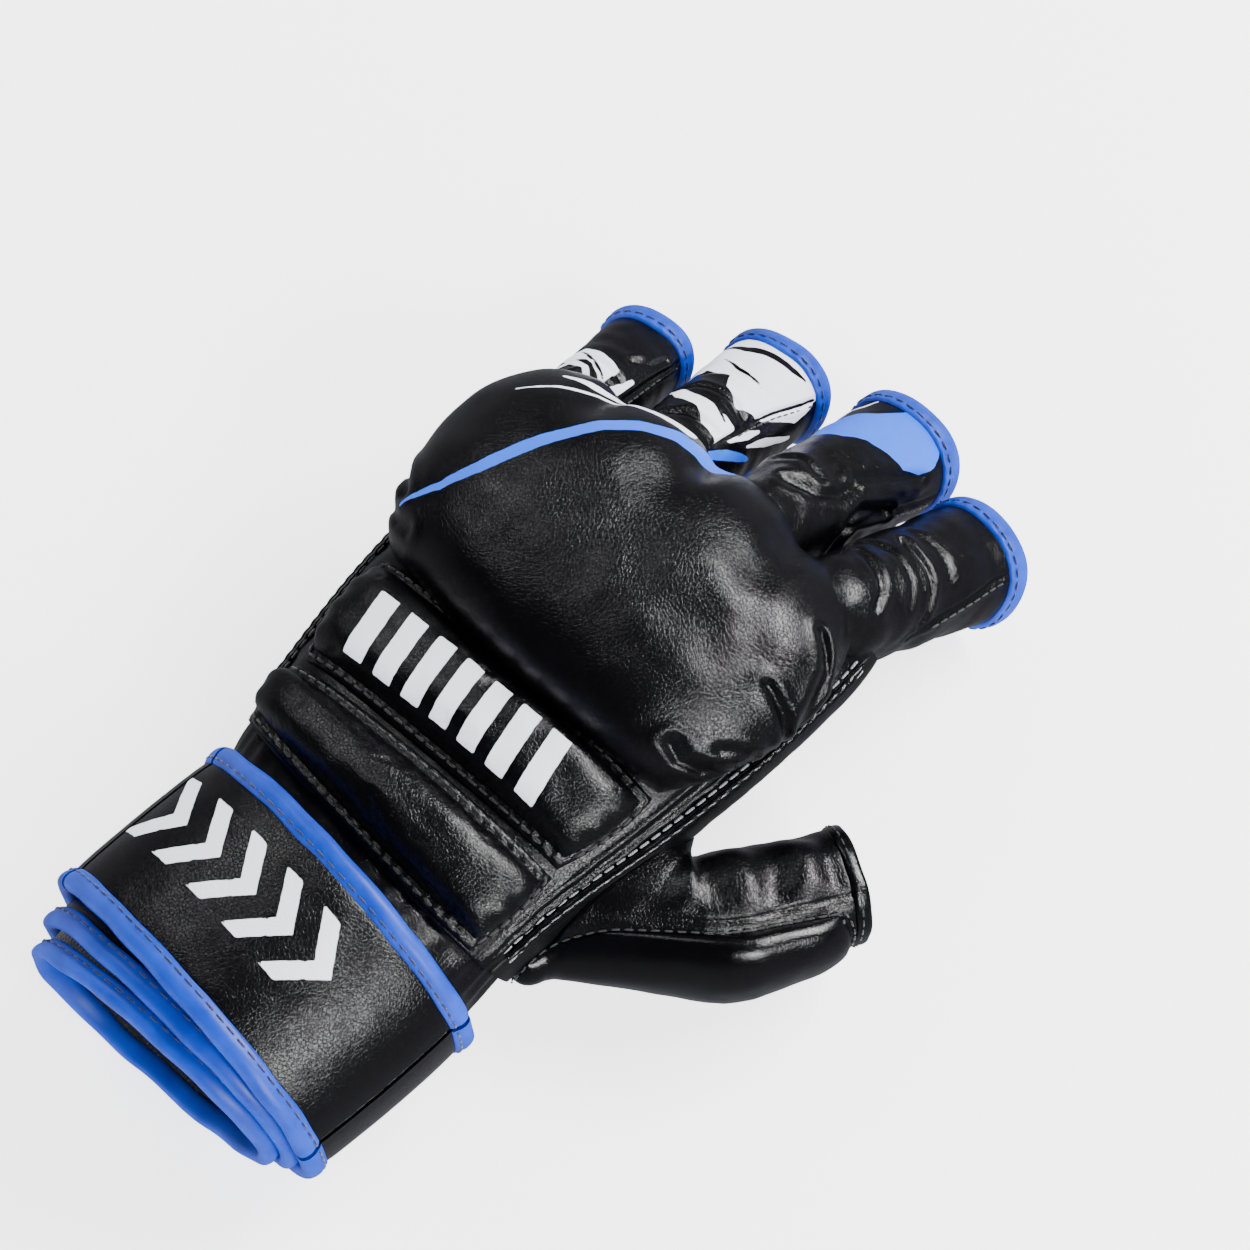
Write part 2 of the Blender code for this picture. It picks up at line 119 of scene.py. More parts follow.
def superellipse(half_width, half_height, power, degrees):
    c, s = np.cos(np.radians(degrees)), np.sin(np.radians(degrees))
    across = half_width * np.sign(c) * np.abs(c) ** (2 / power)
    up = half_height * np.sign(s) * np.abs(s) ** (2 / power)
    nx = np.sign(c) * np.abs(across / half_width) ** (power - 1) / half_width
    nz = np.sign(s) * np.abs(up / half_height) ** (power - 1) / half_height
    size = np.hypot(nx, nz)
    return across, up, nx / size, nz / size


def even_angles(first, last, count, half_width, half_height, power):
    """Section angles that stand the same distance apart on the section."""
    fine = np.linspace(first, last, 6000)
    across, up, _, _ = superellipse(half_width, half_height, power, fine)
    run = np.concatenate(([0], np.cumsum(np.hypot(np.diff(across), np.diff(up)))))
    return np.interp(np.linspace(0, run[-1], count), run, fine)


def stacked(x, y, z):
    return np.stack(np.broadcast_arrays(x, y, z), axis=-1)


def turned(x, y, z):
    s, c = math.sin(math.radians(HAND_YAW)), math.cos(math.radians(HAND_YAW))
    ahead = y - WRIST_PIVOT_Y
    return stacked(x * c - ahead * s, WRIST_PIVOT_Y + x * s + ahead * c, z)


def hand(degrees, y, out=0.0, thin=1.0):
    """A point on the hand, out along its section's normal. thin squeezes the section flat."""
    cx, cz, a, b = stations(y)
    across, up, nx, nz = superellipse(a, b, HAND_POWER, degrees)
    return turned(cx + across + out * nx, y, cz + up * thin + out * nz)


def hand_x(degrees, y):
    cx, _, a, b = stations(y)
    return cx + superellipse(a, b, HAND_POWER, degrees)[0]


def wrist_edge(degrees):
    cx, cz, a, b = stations(-23.0)
    across, up, _, _ = superellipse(a, b, HAND_POWER, degrees)
    return -23 - (cx + across) * math.tan(math.radians(HAND_YAW)) + 0.3 * (WRIST_PIVOT_Z - cz - up)


def wrist(degrees, y, out=0.0):
    across, up, nx, nz = superellipse(WRIST_HALF_WIDTH, WRIST_HALF_HEIGHT, WRIST_POWER, degrees)
    return stacked(across + out * nx, y, WRIST_Z + up + out * nz)


def digit_frame(digit):
    s, c = math.radians(digit["splay"] - HAND_YAW), math.radians(digit["curl"])
    side = np.array((math.cos(s), -math.sin(s), 0))
    along = np.array((math.sin(s) * math.cos(c), math.cos(s) * math.cos(c), -math.sin(c)))
    return side, along, np.cross(side, along)


def digit_point(digit, degrees, run, out=0.0):
    side, along, up = digit_frame(digit)
    t = np.asarray(run, float) / digit["length"]
    a = digit["base"][0] + t * (digit["mouth"][0] - digit["base"][0])
    b = digit["base"][1] + t * (digit["mouth"][1] - digit["base"][1])
    across, rise, nx, nz = superellipse(a, b, FINGER_POWER, degrees)
    across, rise = np.broadcast_arrays(across + out * nx, rise + out * nz)
    run = np.broadcast_to(run, across.shape)
    return digit["centre"] + across[..., None] * side + rise[..., None] * up + run[..., None] * along


for digit in FINGERS.values():
    cx, cz, a, b = (float(v) for v in stations(digit["y"]))
    crease = cz - b * (1 - abs((digit["x"] - cx) / a) ** HAND_POWER) ** (1 / HAND_POWER)
    digit["pivot"] = turned(digit["x"], digit["y"], crease)
    digit["centre"] = digit["pivot"] + digit_frame(digit)[2] * digit["base"][1]
THUMB["centre"] = turned(THUMB["x"], THUMB["y"], THUMB["z"])


def gusset(degrees, v, out=0.0, root_out=2.8):
    c, s = np.cos(np.radians(degrees)), np.sin(np.radians(degrees))
    root = hand(-20 + 28 * s, 16 - 23 * c, root_out + out)
    end = digit_point(THUMB, degrees, -1.2 - 1.2 * (1 - c), out)
    v = np.asarray(v, float)[..., None]
    return root + v * (end - root)


# ---------------------------------------------------------------- shaping helpers


def ease(x, start, end):
    t = np.clip((x - start) / (end - start), 0, 1)
    return t * t * (3 - 2 * t)


def bump(x, middle, width):
    return np.exp(-(((x - middle) / width) ** 2))


def lumps(points, size, seed=0.0):
    """Smooth noise from about -1 to 1 at points in millimetres, with features of that size."""
    flat = points.reshape(-1, 3) / size + seed
    values = np.fromiter((noise.noise(p) for p in flat.tolist()), float, len(flat))
    return values.reshape(points.shape[:-1]) * 1.6


def stroke(x, y, path):
    """Signed distance inside a stroke whose points are (x, y, half width)."""
    best = np.full(np.broadcast(x, y).shape, -1e3)
    for (x0, y0, w0), (x1, y1, w1) in zip(path[:-1], path[1:]):
        dx, dy = x1 - x0, y1 - y0
        t = np.clip(((x - x0) * dx + (y - y0) * dy) / (dx * dx + dy * dy), 0, 1)
        away = np.hypot(x - x0 - t * dx, y - y0 - t * dy)
        best = np.maximum(best, w0 + t * (w1 - w0) - away)
    return best


def shape(x, y, outline):
    """Signed distance inside a closed outline of (x, y) points."""
    near = np.full(np.broadcast(x, y).shape, 1e3)
    inside = np.zeros(near.shape, bool)
    for (x0, y0), (x1, y1) in zip(outline, outline[1:] + outline[:1]):
        dx, dy = x1 - x0, y1 - y0
        t = np.clip(((x - x0) * dx + (y - y0) * dy) / (dx * dx + dy * dy), 0, 1)
        near = np.minimum(near, np.hypot(x - x0 - t * dx, y - y0 - t * dy))
        if dy:
            inside ^= ((y0 > y) != (y1 > y)) & (x < x0 + (y - y0) / dy * dx)
    return np.where(inside, near, -near)


def print_distance(x, y, fields=(), strokes=()):
    """Signed distance inside any of the outlines and strokes."""
    distances = [shape(x, y, field) for field in fields] + [stroke(x, y, path) for path in strokes]
    return np.max(distances, axis=0)


def creases(x, y, folds):
    """Depth of sharp valleys with a soft ridge beside each: (depth, width, path of (x, y))."""
    total = np.zeros(np.broadcast(x, y).shape)
    for depth, width, path in folds:
        away = -stroke(x, y, [(px, py, 0.0) for px, py in path])
        total -= depth * np.exp(-((away / width) ** 2))
        total += 0.35 * depth * np.exp(-(((away - 2.2 * width) / (1.2 * width)) ** 2))
    return total


# ---------------------------------------------------------------- mesh helpers


def add_mesh(name, points, quads, others, material, attributes=None):
    """A smooth-shaded object from points in millimetres, turned so that its faces look outwards."""
    points = np.asarray(points, float).reshape(-1, 3)
    fan = np.concatenate((quads[:, :3], quads[:, [0, 2, 3]]))
    middle = points[fan] - points.mean(axis=0)
    if np.linalg.det(middle).sum() < 0:
        quads = quads[:, ::-1]
        others = [face[::-1] for face in others]
    mesh = bpy.data.meshes.new(name)
    faces = quads.tolist() + [list(face) for face in others]
    mesh.from_pydata(((points - ORIGIN) * MM).tolist(), [], faces)
    mesh.update()
    mesh.shade_smooth()
    mesh.materials.append(material)
    attributes = dict(attributes or {})
    for key in ("ink_white", "ink_blue") if material is PRINTED else ():
        attributes.setdefault(key, np.full(len(points), OUTSIDE_PRINT))
    for key, values in attributes.items():
        held = mesh.attributes.new(key, "FLOAT", "POINT")
        held.data.foreach_set("value", np.asarray(values, np.float32).reshape(-1))
    made = bpy.data.objects.new(name, mesh)
    bpy.context.scene.collection.objects.link(made)
    return made


def cells(rows, columns, wrap_rows=False, wrap_columns=False, start=0):
    r = np.arange(rows if wrap_rows else rows - 1)
    c = np.arange(columns if wrap_columns else columns - 1)
    r, c = np.meshgrid(r, c, indexing="ij")
    r1, c1 = (r + 1) % rows, (c + 1) % columns
    corners = (r * columns + c, r * columns + c1, r1 * columns + c1, r1 * columns + c)
    return np.stack(corners, axis=-1).reshape(-1, 4) + start


def hoop(name, points, material, attributes=None):
    """A closed ring of rows and columns: both directions join up."""
    rows, columns = points.shape[:2]
    return add_mesh(name, points, cells(rows, columns, True, True), [], material, attributes)


def rod(name, points, material, attributes=None):
    """A solid whose columns join up and whose first and last rows are capped."""
    rows, columns = points.shape[:2]
    first = list(range(columns))
    last = [(rows - 1) * columns + k for k in range(columns)]
    quads = cells(rows, columns, False, True)
    return add_mesh(name, points, quads, [first, last[::-1]], material, attributes)


def sheet_solid(name, upper, lower, material, attributes=None):
    """A closed body between two grids of the same size."""
    rows, columns = upper.shape[:2]
    size = rows * columns
    top = cells(rows, columns)
    rim = border(rows, columns)
    ahead = np.roll(rim, -1)
    walls = np.stack((rim, rim + size, ahead + size, ahead), axis=-1)
    quads = np.concatenate((top, top[:, ::-1] + size, walls))
    doubled = {k: np.concatenate((v.reshape(-1), v.reshape(-1))) for k, v in (attributes or {}).items()}
    both = np.concatenate((upper.reshape(-1, 3), lower.reshape(-1, 3)))
    return add_mesh(name, both, quads, [], material, doubled)


def border(rows, columns):
    """Indices round the edge of a grid, in order."""
    south = np.arange(columns)
    east = np.arange(1, rows) * columns + columns - 1
    north = np.arange(columns - 2, -1, -1) + (rows - 1) * columns
    west = np.arange(rows - 2, 0, -1) * columns
    return np.concatenate((south, east, north, west))


def pad_solid(name, top, under, material, attributes=None):
    """A crowned top whose edge is closed underneath by rings from under(share), share going from 1 to 0."""
    rows, columns = top.shape[:2]
    rim = border(rows, columns)
    rings = [under(share).reshape(-1, 3)[rim] for share in (0.94, 0.75, 0.5, 0.25)]
    quads, previous, size = [cells(rows, columns)], rim, rows * columns
    for k in range(len(rings)):
        ring = size + k * len(rim) + np.arange(len(rim))
        quads.append(np.stack((previous, ring, np.roll(ring, -1), np.roll(previous, -1)), axis=-1))
        previous = ring
    points = np.concatenate([top.reshape(-1, 3)] + rings)
    held = {}
    for key, values in (attributes or {}).items():
        held[key] = np.concatenate((values.reshape(-1), np.full(len(rim) * len(rings), OUTSIDE_PRINT)))
    return add_mesh(name, points, np.concatenate(quads), [previous.tolist()], material, held)


def tidy_path(path, step):
    """The path with points at the given spacing."""
    path = np.asarray(path, float)
    run = np.concatenate(([0], np.cumsum(np.linalg.norm(np.diff(path, axis=0), axis=1))))
    spots = np.arange(0, run[-1], step)
    return np.stack([np.interp(spots, run, path[:, k]) for k in range(3)], axis=-1)


def cord_rows(path, radius, sides=8):
    """Rings round a path."""
    path = np.asarray(path, float)
    tangent = np.gradient(path, axis=0)
    tangent /= np.linalg.norm(tangent, axis=1)[:, None]
    helper = np.where(np.abs(tangent[:, 2:]) > 0.8, np.array((1.0, 0, 0)), np.array((0, 0, 1.0)))
    first = np.cross(tangent, helper)
    first /= np.linalg.norm(first, axis=1)[:, None]
    second = np.cross(tangent, first)
    turn = np.linspace(0, 2 * math.pi, sides, endpoint=False)
    radius = np.broadcast_to(radius, (len(path),))[:, None, None]
    ring = first[:, None] * np.cos(turn)[:, None] + second[:, None] * np.sin(turn)[:, None]
    return path[:, None] + ring * radius


def stitches(name, paths, material, length=2.5, gap=0.9, radius=0.32):
    """Short plump threads in line along each path."""
    points, quads, caps = [], [], []
    swell = np.array((0.35, 0.9, 1.0, 0.9, 0.35)) * radius
    for path in paths:
        fine = tidy_path(path, 0.25)
        per, every = int(length / 0.25), int((length + gap) / 0.25)
        for start in range(0, len(fine) - per - 1, every):
            spots = fine[start + np.array((0, 1, per // 2, per - 1, per))]
            rows = cord_rows(spots, swell, 6)
            base = len(points) * 30
            quads.append(cells(5, 6, False, True, base))
            caps += [list(range(base, base + 6)), list(range(base + 29, base + 23, -1))]
            points.append(rows.reshape(-1, 3))
    return add_mesh(name, np.concatenate(points), np.concatenate(quads), caps, material)


# ---------------------------------------------------------------- materials


class Nodes:
    """Short forms for building a node tree."""

    def __init__(self, name, roughness, **sockets):
        self.material = bpy.data.materials.new(name)
        self.material.use_nodes = True
        self.tree = self.material.node_tree
        self.shader = self.tree.nodes["Principled BSDF"]
        self.shader.inputs["Roughness"].default_value = roughness
        for key, value in sockets.items():
            self.shader.inputs[key.replace("_", " ")].default_value = value
        self.where = self.add("ShaderNodeTexCoord").outputs["Object"]

    def add(self, kind, **settings):
        node = self.tree.nodes.new(kind)
        for key, value in settings.items():
            setattr(node, key, value)
        return node

    def link(self, source, target):
        self.tree.links.new(source, target)

    def noise(self, scale, detail=4.0, roughness=0.55):
        node = self.add("ShaderNodeTexNoise")
        node.inputs["Scale"].default_value = scale
        node.inputs["Detail"].default_value = detail
        node.inputs["Roughness"].default_value = roughness
        self.link(self.where, node.inputs["Vector"])
        return node.outputs["Fac"]

    def cracks(self, scale, width):
        """0 in the lines between cells, 1 on the cells."""
        node = self.add("ShaderNodeTexVoronoi", feature="DISTANCE_TO_EDGE")
        node.inputs["Scale"].default_value = scale
        self.link(self.where, node.inputs["Vector"])
        return self.ranged(node.outputs["Distance"], 0, width, 0, 1)

    def ranged(self, source, low, high, to_low, to_high, smooth=False):
        node = self.add("ShaderNodeMapRange")
        if smooth:
            node.interpolation_type = "SMOOTHSTEP"
        for key, value in zip(("From Min", "From Max", "To Min", "To Max"), (low, high, to_low, to_high)):
            node.inputs[key].default_value = value
        self.link(source, node.inputs["Value"])
        return node.outputs["Result"]

    def maths(self, operation, a, b):
        node = self.add("ShaderNodeMath", operation=operation)
        for socket, value in zip(node.inputs, (a, b)):
            if isinstance(value, (int, float)):
                socket.default_value = value
            else:
                self.link(value, socket)
        return node.outputs["Value"]

    def blend(self, factor, a, b):
        """Mixes two colours, each an output or three numbers."""
        node = self.add("ShaderNodeMix", data_type="RGBA")
        self.link(factor, node.inputs["Factor"])
        for socket, value in ((node.inputs[6], a), (node.inputs[7], b)):
            if isinstance(value, tuple):
                socket.default_value = (*value, 1)
            else:
                self.link(value, socket)
        return node.outputs[2]

    def attribute(self, name):
        return self.add("ShaderNodeAttribute", attribute_name=name).outputs["Fac"]

    def total(self, *parts):
        """The sum of (output, weight) pairs."""
        total = None
        for output, weight in parts:
            part = output if weight == 1 else self.maths("MULTIPLY", output, weight)
            total = part if total is None else self.maths("ADD", total, part)
        return total

    def paint(self, colour):
        self.link(colour, self.shader.inputs["Base Color"])

    def bump(self, height, strength, distance, coat=False):
        node = self.add("ShaderNodeBump")
        node.inputs["Strength"].default_value = strength
        node.inputs["Distance"].default_value = distance
        self.link(height, node.inputs["Height"])
        self.link(node.outputs["Normal"], self.shader.inputs["Normal"])
        if coat:
            self.link(node.outputs["Normal"], self.shader.inputs["Coat Normal"])


BLACK, SOFT_BLACK = (0.0009, 0.0009, 0.0015), (0.0014, 0.0014, 0.0022)
CRACK_BLACK = (0.0005, 0.0005, 0.0007)
WHITE_INK, BLUE_INK = (0.78, 0.78, 0.88), (0.005, 0.10, 0.70)
# the tape's deeper blue is painted shade for the hollows of its ripples
BLUE, HOLLOW_SHADE_BLUE = (0.0012, 0.044, 0.43), (0.0006, 0.026, 0.29)


def leather(name, inks=(), roughness=(0.23, 0.26), grain=1.0, coat=0.12, tone=(BLACK, SOFT_BLACK)):
    """Glossy coated leather: cracked grain, creased gloss, and prints from signed-distance attributes."""
    n = Nodes(name, 0.28, Coat_Weight=coat, Coat_Roughness=0.12, Specular_IOR_Level=0.34)
    cloudy = n.noise(40, 2)
    fine = n.noise(2600, 3, 0.6)
    plates = n.cracks(1050, 0.14)
    small = n.cracks(2300, 0.18)
    colour = n.blend(n.ranged(cloudy, 0.35, 0.68, 0, 1), *tone)
    colour = n.blend(n.ranged(plates, 0, 1, 0.55, 0), colour, CRACK_BLACK)
    rough = n.ranged(cloudy, 0.3, 0.7, *roughness)
    for attribute, ink in inks:
        ragged = n.maths("ADD", n.attribute(attribute), n.ranged(n.noise(420, 4), 0.3, 0.7, -0.09, 0.09))
        painted = n.ranged(ragged, -0.09, 0.09, 0, 1, smooth=True)
        worn = n.ranged(n.noise(900, 5, 0.7), 0.3, 0.36, 0.82, 1.0)
        colour = n.blend(n.maths("MULTIPLY", painted, worn), colour, ink)
        rough = n.maths("ADD", rough, n.ranged(painted, 0, 1, 0, 0.12))
    n.paint(colour)
    n.link(rough, n.shader.inputs["Roughness"])
    height = n.total((plates, 0.60), (small, 0.30), (fine, 0.25), (n.noise(110, 2), 0.5))
    n.bump(height, 0.65 * grain, 0.00007, coat=True)
    return n.material


def satin_tape(name):
    """Coated edge tape: soft sheen, small ripples from the stitching, and painted shade: a deeper blue in
    the ripples' hollows.
    """
    n = Nodes(name, 0.42, Coat_Weight=0.05, Coat_Roughness=0.3, Specular_IOR_Level=0.3)
    soft = n.noise(120, 4)
    fine = n.noise(2200, 2)
    # painted shade: the deeper blue goes where the ripples are low
    n.paint(n.blend(n.ranged(soft, 0.3, 0.7, 0, 1), HOLLOW_SHADE_BLUE, BLUE))
    n.link(n.ranged(soft, 0.3, 0.7, 0.36, 0.5), n.shader.inputs["Roughness"])
    n.bump(n.total((fine, 0.3), (soft, 1)), 0.30, 0.0003, coat=True)
    return n.material


def thread(name, dark, light):
    """Twisted thread: fine diagonal plies."""
    n = Nodes(name, 0.55, Sheen_Weight=0.3)
    wave = n.add("ShaderNodeTexWave", bands_direction="DIAGONAL")
    wave.inputs["Scale"].default_value = 900
    wave.inputs["Distortion"].default_value = 1.5
    n.link(n.where, wave.inputs["Vector"])
    n.paint(n.blend(wave.outputs["Fac"], dark, light))
    n.bump(wave.outputs["Fac"], 0.5, 0.0001)
    return n.material


def weave(name, dark, light, scale, roughness=0.85, depth=0.0003):
    """Knitted or woven cloth: crossed ribs with fuzz."""
    n = Nodes(name, roughness, Sheen_Weight=0.35, Sheen_Roughness=0.5)
    ribs = []
    for direction in ("X", "Y"):
        wave = n.add("ShaderNodeTexWave", bands_direction=direction)
        wave.inputs["Scale"].default_value = scale
        wave.inputs["Distortion"].default_value = 0.6
        n.link(n.where, wave.inputs["Vector"])
        ribs.append(wave.outputs["Fac"])
    both = n.maths("MULTIPLY", *ribs)
    fuzz = n.noise(2600, 3)
    n.paint(n.blend(n.ranged(n.total((both, 1), (fuzz, 0.4)), 0.1, 1.1, 0, 1), dark, light))
    n.bump(n.maths("ADD", both, fuzz), 0.6, depth)
    return n.material


def foam_material(name):
    n = Nodes(name, 0.95)
    holes = n.cracks(900, 0.3)
    n.paint(n.blend(holes, (0.03, 0.03, 0.035), (0.09, 0.09, 0.10)))
    n.bump(n.maths("ADD", holes, n.noise(300, 3)), 0.7, 0.0005)
    return n.material


def fuzz_material(name, base, tip):
    """Hook or loop tape: dense upright fibres."""
    n = Nodes(name, 0.95, Sheen_Weight=0.5)
    dots = n.add("ShaderNodeTexVoronoi", feature="F1")
    dots.inputs["Scale"].default_value = 1100
    n.link(n.where, dots.inputs["Vector"])
    tufts = n.ranged(dots.outputs["Distance"], 0, 0.6, 1, 0)
    n.paint(n.blend(tufts, base, tip))
    n.bump(n.maths("ADD", tufts, n.noise(1800, 3)), 0.9, 0.0006)
    return n.material


INKS = (("ink_white", WHITE_INK), ("ink_blue", BLUE_INK))
LEATHER = leather("black_leather_grain")
PRINTED = leather("black_leather_printed", INKS)
SMOOTH = leather("black_leather_smooth", (), (0.18, 0.21), 0.55, 0.15)
PALM_BLACKS = (0.0012, 0.0012, 0.0017), (0.0026, 0.0026, 0.0034)
PALM = leather("black_palm_leather_grain", (), (0.40, 0.50), 1.3, 0.05, PALM_BLACKS)
TAPE_BLUE = satin_tape("blue_satin_tape")
BLUE_THREAD = thread("navy_thread", (0.0006, 0.0035, 0.035), (0.002, 0.010, 0.09))
BLACK_THREAD = thread("black_thread", (0.0012, 0.0012, 0.0015), (0.010, 0.010, 0.012))
PALE_THREAD = thread("pale_thread", (0.06, 0.06, 0.07), (0.30, 0.30, 0.34))
ELASTIC = weave("black_elastic_rib", (0.002, 0.002, 0.0024), (0.013, 0.013, 0.015), 260)
FOAM = foam_material("grey_cell_foam")
HOOKS = fuzz_material("hook_tape", (0.002, 0.002, 0.002), (0.018, 0.018, 0.019))
LOOPS = fuzz_material("loop_tape", (0.0015, 0.0015, 0.0015), (0.012, 0.012, 0.013))


# ---------------------------------------------------------------- hand shell


def settle(piece, body, slot, *nodes):
    """Puts a piece on its body in place of the CAD nodes; its slot is not used."""
    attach(piece, body)
    if nodes:
        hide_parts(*nodes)
    return piece


def settle_bent(piece, bodies, ends, slot, *nodes):
    """Bakes a piece's transform into its mesh in place of the CAD nodes; its bodies and slot are not used.
    """
    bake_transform(piece)
    if nodes:
        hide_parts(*nodes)
    return piece


def crotch_y(x):
    """Where the hand shell starts to close between the fingers."""
    across = (-56, -40.2, -27.4, -14.6, -0.5, 13.5, 27, 40.5, 56)
    return np.interp(x, across, (82, 87, 93, 96.5, 98.5, 99, 96.5, 93.5, 90))


def hand_panel(node, slot, first, last, columns, rows, material, relief):
    degrees = even_angles(first, last, columns, 52, 17, HAND_POWER)
    start, end = wrist_edge(degrees), crotch_y(hand_x(degrees, 90.0))
    body = start + np.linspace(0, 1, rows)[:, None] * (end - start)
    turn = np.radians(np.linspace(0, 90, 14))[1:, None]
    y = np.concatenate((body, end + 7 * np.sin(turn)))
    thin = np.concatenate((np.ones_like(body), np.broadcast_to(np.cos(turn), (13, columns))))
    flat = hand(degrees, y, 0, thin)
    out = relief(degrees, y) + 0.30 * lumps(flat, 16, 3.0) + 0.14 * lumps(flat, 5, 9.0)
    inside = hand(degrees, y, -1.6, thin * 0.97)
    settle(sheet_solid(node + "_leather", hand(degrees, y, out, thin), inside, material), "hand", slot, node)


def back_relief(degrees, y):
    """Long folds beside the thumb-side seam and puckers beside both seams."""
    strained = ease(y, -24, -5) * (1 - ease(y, 45, 75))
    folds = 1.1 * bump(degrees, 20.5 + 0.05 * y, 1.3) + 0.8 * bump(degrees, 26 + 0.10 * y, 1.6)
    pulls = np.sin(y * 0.62 + 2 * np.sin(y * 0.11)) * 0.32 * (bump(degrees, 20, 6) + bump(degrees, 166, 7))
    return folds * strained + pulls


def palm_relief(degrees, y):
    """Creases of the palm, and the fleshy swell at the thumb's and little finger's roots."""
    x = hand_x(degrees, y)
    swell = 1.6 * bump(x, 26, 17) * bump(y, 18, 34) + 1.3 * bump(x, -28, 15) * bump(y, 22, 38)
    lines = (
        (1.2, 1.5, [(40, 70), (22, 72), (4, 62), (-14, 50), (-30, 44)]),
        (1.1, 1.5, [(-44, 76), (-26, 76), (-8, 84), (10, 90)]),
        (1.2, 1.7, [(40, 62), (20, 56), (8, 38), (4, 16), (8, -4)]),
    )
    return swell + creases(x, y, lines)


def make_hand():
    hand_panel("back_panel", "black_leather", 13.5, 172.5, 200, 110, LEATHER, back_relief)
    hand_panel("palm_panel", "black_palm_leather", 172.5, 373.5, 180, 100, PALM, palm_relief)
    for side, angle, first, last in (("radial", RADIAL_SEAM, -14, 92), ("ulnar", ULNAR_SEAM, -6, 86)):
        y = np.linspace(first, last, 130)
        path = hand(angle + 0 * y, y, 0.75 + 0.12 * np.sin(y * 1.9))
        taper = 1.25 * (0.35 + 0.65 * ease(y, first, first + 6) * (1 - ease(y, last - 6, last)))
        welt = rod(side + "_seam_welt", cord_rows(path, taper, 10), SMOOTH)
        settle(welt, "hand", "black_leather", side + "_seam_piping")
        inward = 1 if side == "radial" else -1
        line = hand(angle + inward * 5.0 + 0 * y, y, 0.35)
        under = hand(angle - inward * 4.5 + 0 * y, y, 0.30)
        colour = PALE_THREAD if side == "radial" else BLACK_THREAD
        settle(stitches(side + "_seam_stitches", [line, under], colour), "hand", "black_leather")


# ---------------------------------------------------------------- pads on the back of the hand


def crown(a, b, across, along):
    """A pad's rounded height as a share of its middle's, with a power across it and one along it."""
    return np.maximum(0, 1 - np.abs(a) ** across) ** 0.5 * np.maximum(0, 1 - np.abs(b) ** along) ** 0.5


def pad_grid(columns, rows):
    """Shares from -1 to 1 across and along a pad, closer together towards its edge."""
    a, b = (np.sin(np.pi * (np.linspace(0, 1, count) - 0.5)) for count in (columns, rows))
    return np.meshgrid(a, b)


def pad_rim(columns, rows):
    """The same shares, only round the edge."""
    rim = border(rows, columns)
    return [share.reshape(-1)[rim] for share in pad_grid(columns, rows)]


class HandPad:
    """A pad's footprint on the back of the hand. Its a runs from the thumb side, -1, to the other, 1."""

    def __init__(self, angles, corner):
        self.middle, self.half = sum(angles) / 2, (angles[1] - angles[0]) / 2
        self.corner = corner
        self.table = even_angles(*angles, 1201, 53, 17, HAND_POWER)

    def angle(self, a):
        return np.interp(a, np.linspace(-1, 1, 1201), self.table)

    def share(self, a):
        return (self.angle(a) - self.middle) / self.half

    def spot(self, a, b):
        return a * np.sqrt(1 - self.corner * b * b), b * np.sqrt(1 - self.corner * a * a)


def lobe(x):
    """1 over each finger and less in each crotch."""
    return 1 - bump(x, 27, 5.5) - bump(x, -0.5, 5.5) - bump(x, -27.4, 5.0)


KNUCKLE = HandPad((21, 164), 0.25)


def knuckle_base(p, q):
    """Section angle and y of a spot on the knuckle pad's footprint."""
    angle = KNUCKLE.angle(p)
    y = 68.3 + q * 35.8 + 2.5 * (1 + q) / 2 * (1 - p * p)
    x = hand_x(angle, y)
    y = y + x * (-0.05 * (1 - q) - 0.02 * (1 + q)) / 2
    return angle, y + 3.0 * (lobe(x) - 0.75) * ease(q, 0.35, 1)


def knuckle_height(a, b):
    side = KNUCKLE.share(a)
    fade = 0.5 + 0.16 * ease(b, 0.1, 0.8)
    height = 18.6 * (1 - np.abs(side) ** 3.2) ** 0.5 * np.maximum(0, 1 - np.abs(b) ** 3.4) ** fade
    angle, y = knuckle_base(*KNUCKLE.spot(a, b))
    x = hand_x(angle, y)
    height = height * (1 - 0.16 * (1 - lobe(x)) * ease(b, 0.1, 0.9)) * (1 - 0.10 * ease(b, 0.2, 1))
    return height, angle, y


# Prints and folds of the knuckle pad: across the pad from its middle to the thumb side, and y.
ARC = [
    (-44.8, 46.2, 0.2), (-37.4, 53, 0.85), (-32.3, 61.5, 1.3), (-28.7, 71, 1.45), (-25, 79.7, 1.5),
    (-21.2, 88, 1.6), (-16, 94.9, 1.75), (-9.2, 100.2, 2.0), (-3.5, 102.0, 2.4), (1.5, 101.4, 2.3),
    (5, 103, 1.2),
]
PAD_WHITES = (
    [
        (-41, 84, 0.15), (-36.5, 91, 0.4), (-31, 96.5, 0.5), (-24.5, 100.5, 0.7), (-17, 103.0, 1.1),
        (-10, 104.5, 1.6),
    ],
    [(-40, 95.5, 0.5), (-34, 98.5, 1.3), (-29, 101.5, 1.5), (-24, 104.5, 0.6)],
)
CORNER_FOLDS = (
    (1.7, 1.2, [(41.5, 43.1), (45.5, 42.2), (49, 43.8), (51.6, 49.4), (51.8, 54)]),
    (0.9, 1.0, [(47.0, 48.6), (50.2, 54.5), (51.8, 59.6)]),
    (1.2, 1.1, [(42.3, 66.0), (47.1, 64.7), (51.8, 62.3)]),
    (1.7, 1.1, [(44.0, 84.5), (46.6, 82.0), (48.6, 79), (49.7, 73.2), (51.2, 67.2)]),
    (1.0, 1.3, [(48.5, 99.1), (50.0, 91.4), (51.2, 80.0)]),
    (1.3, 1.3, [(-50, 47), (-45.5, 44), (-41, 43)]),
    (1.5, 1.2, [(-52, 58), (-48.6, 54), (-46, 49)]),
)


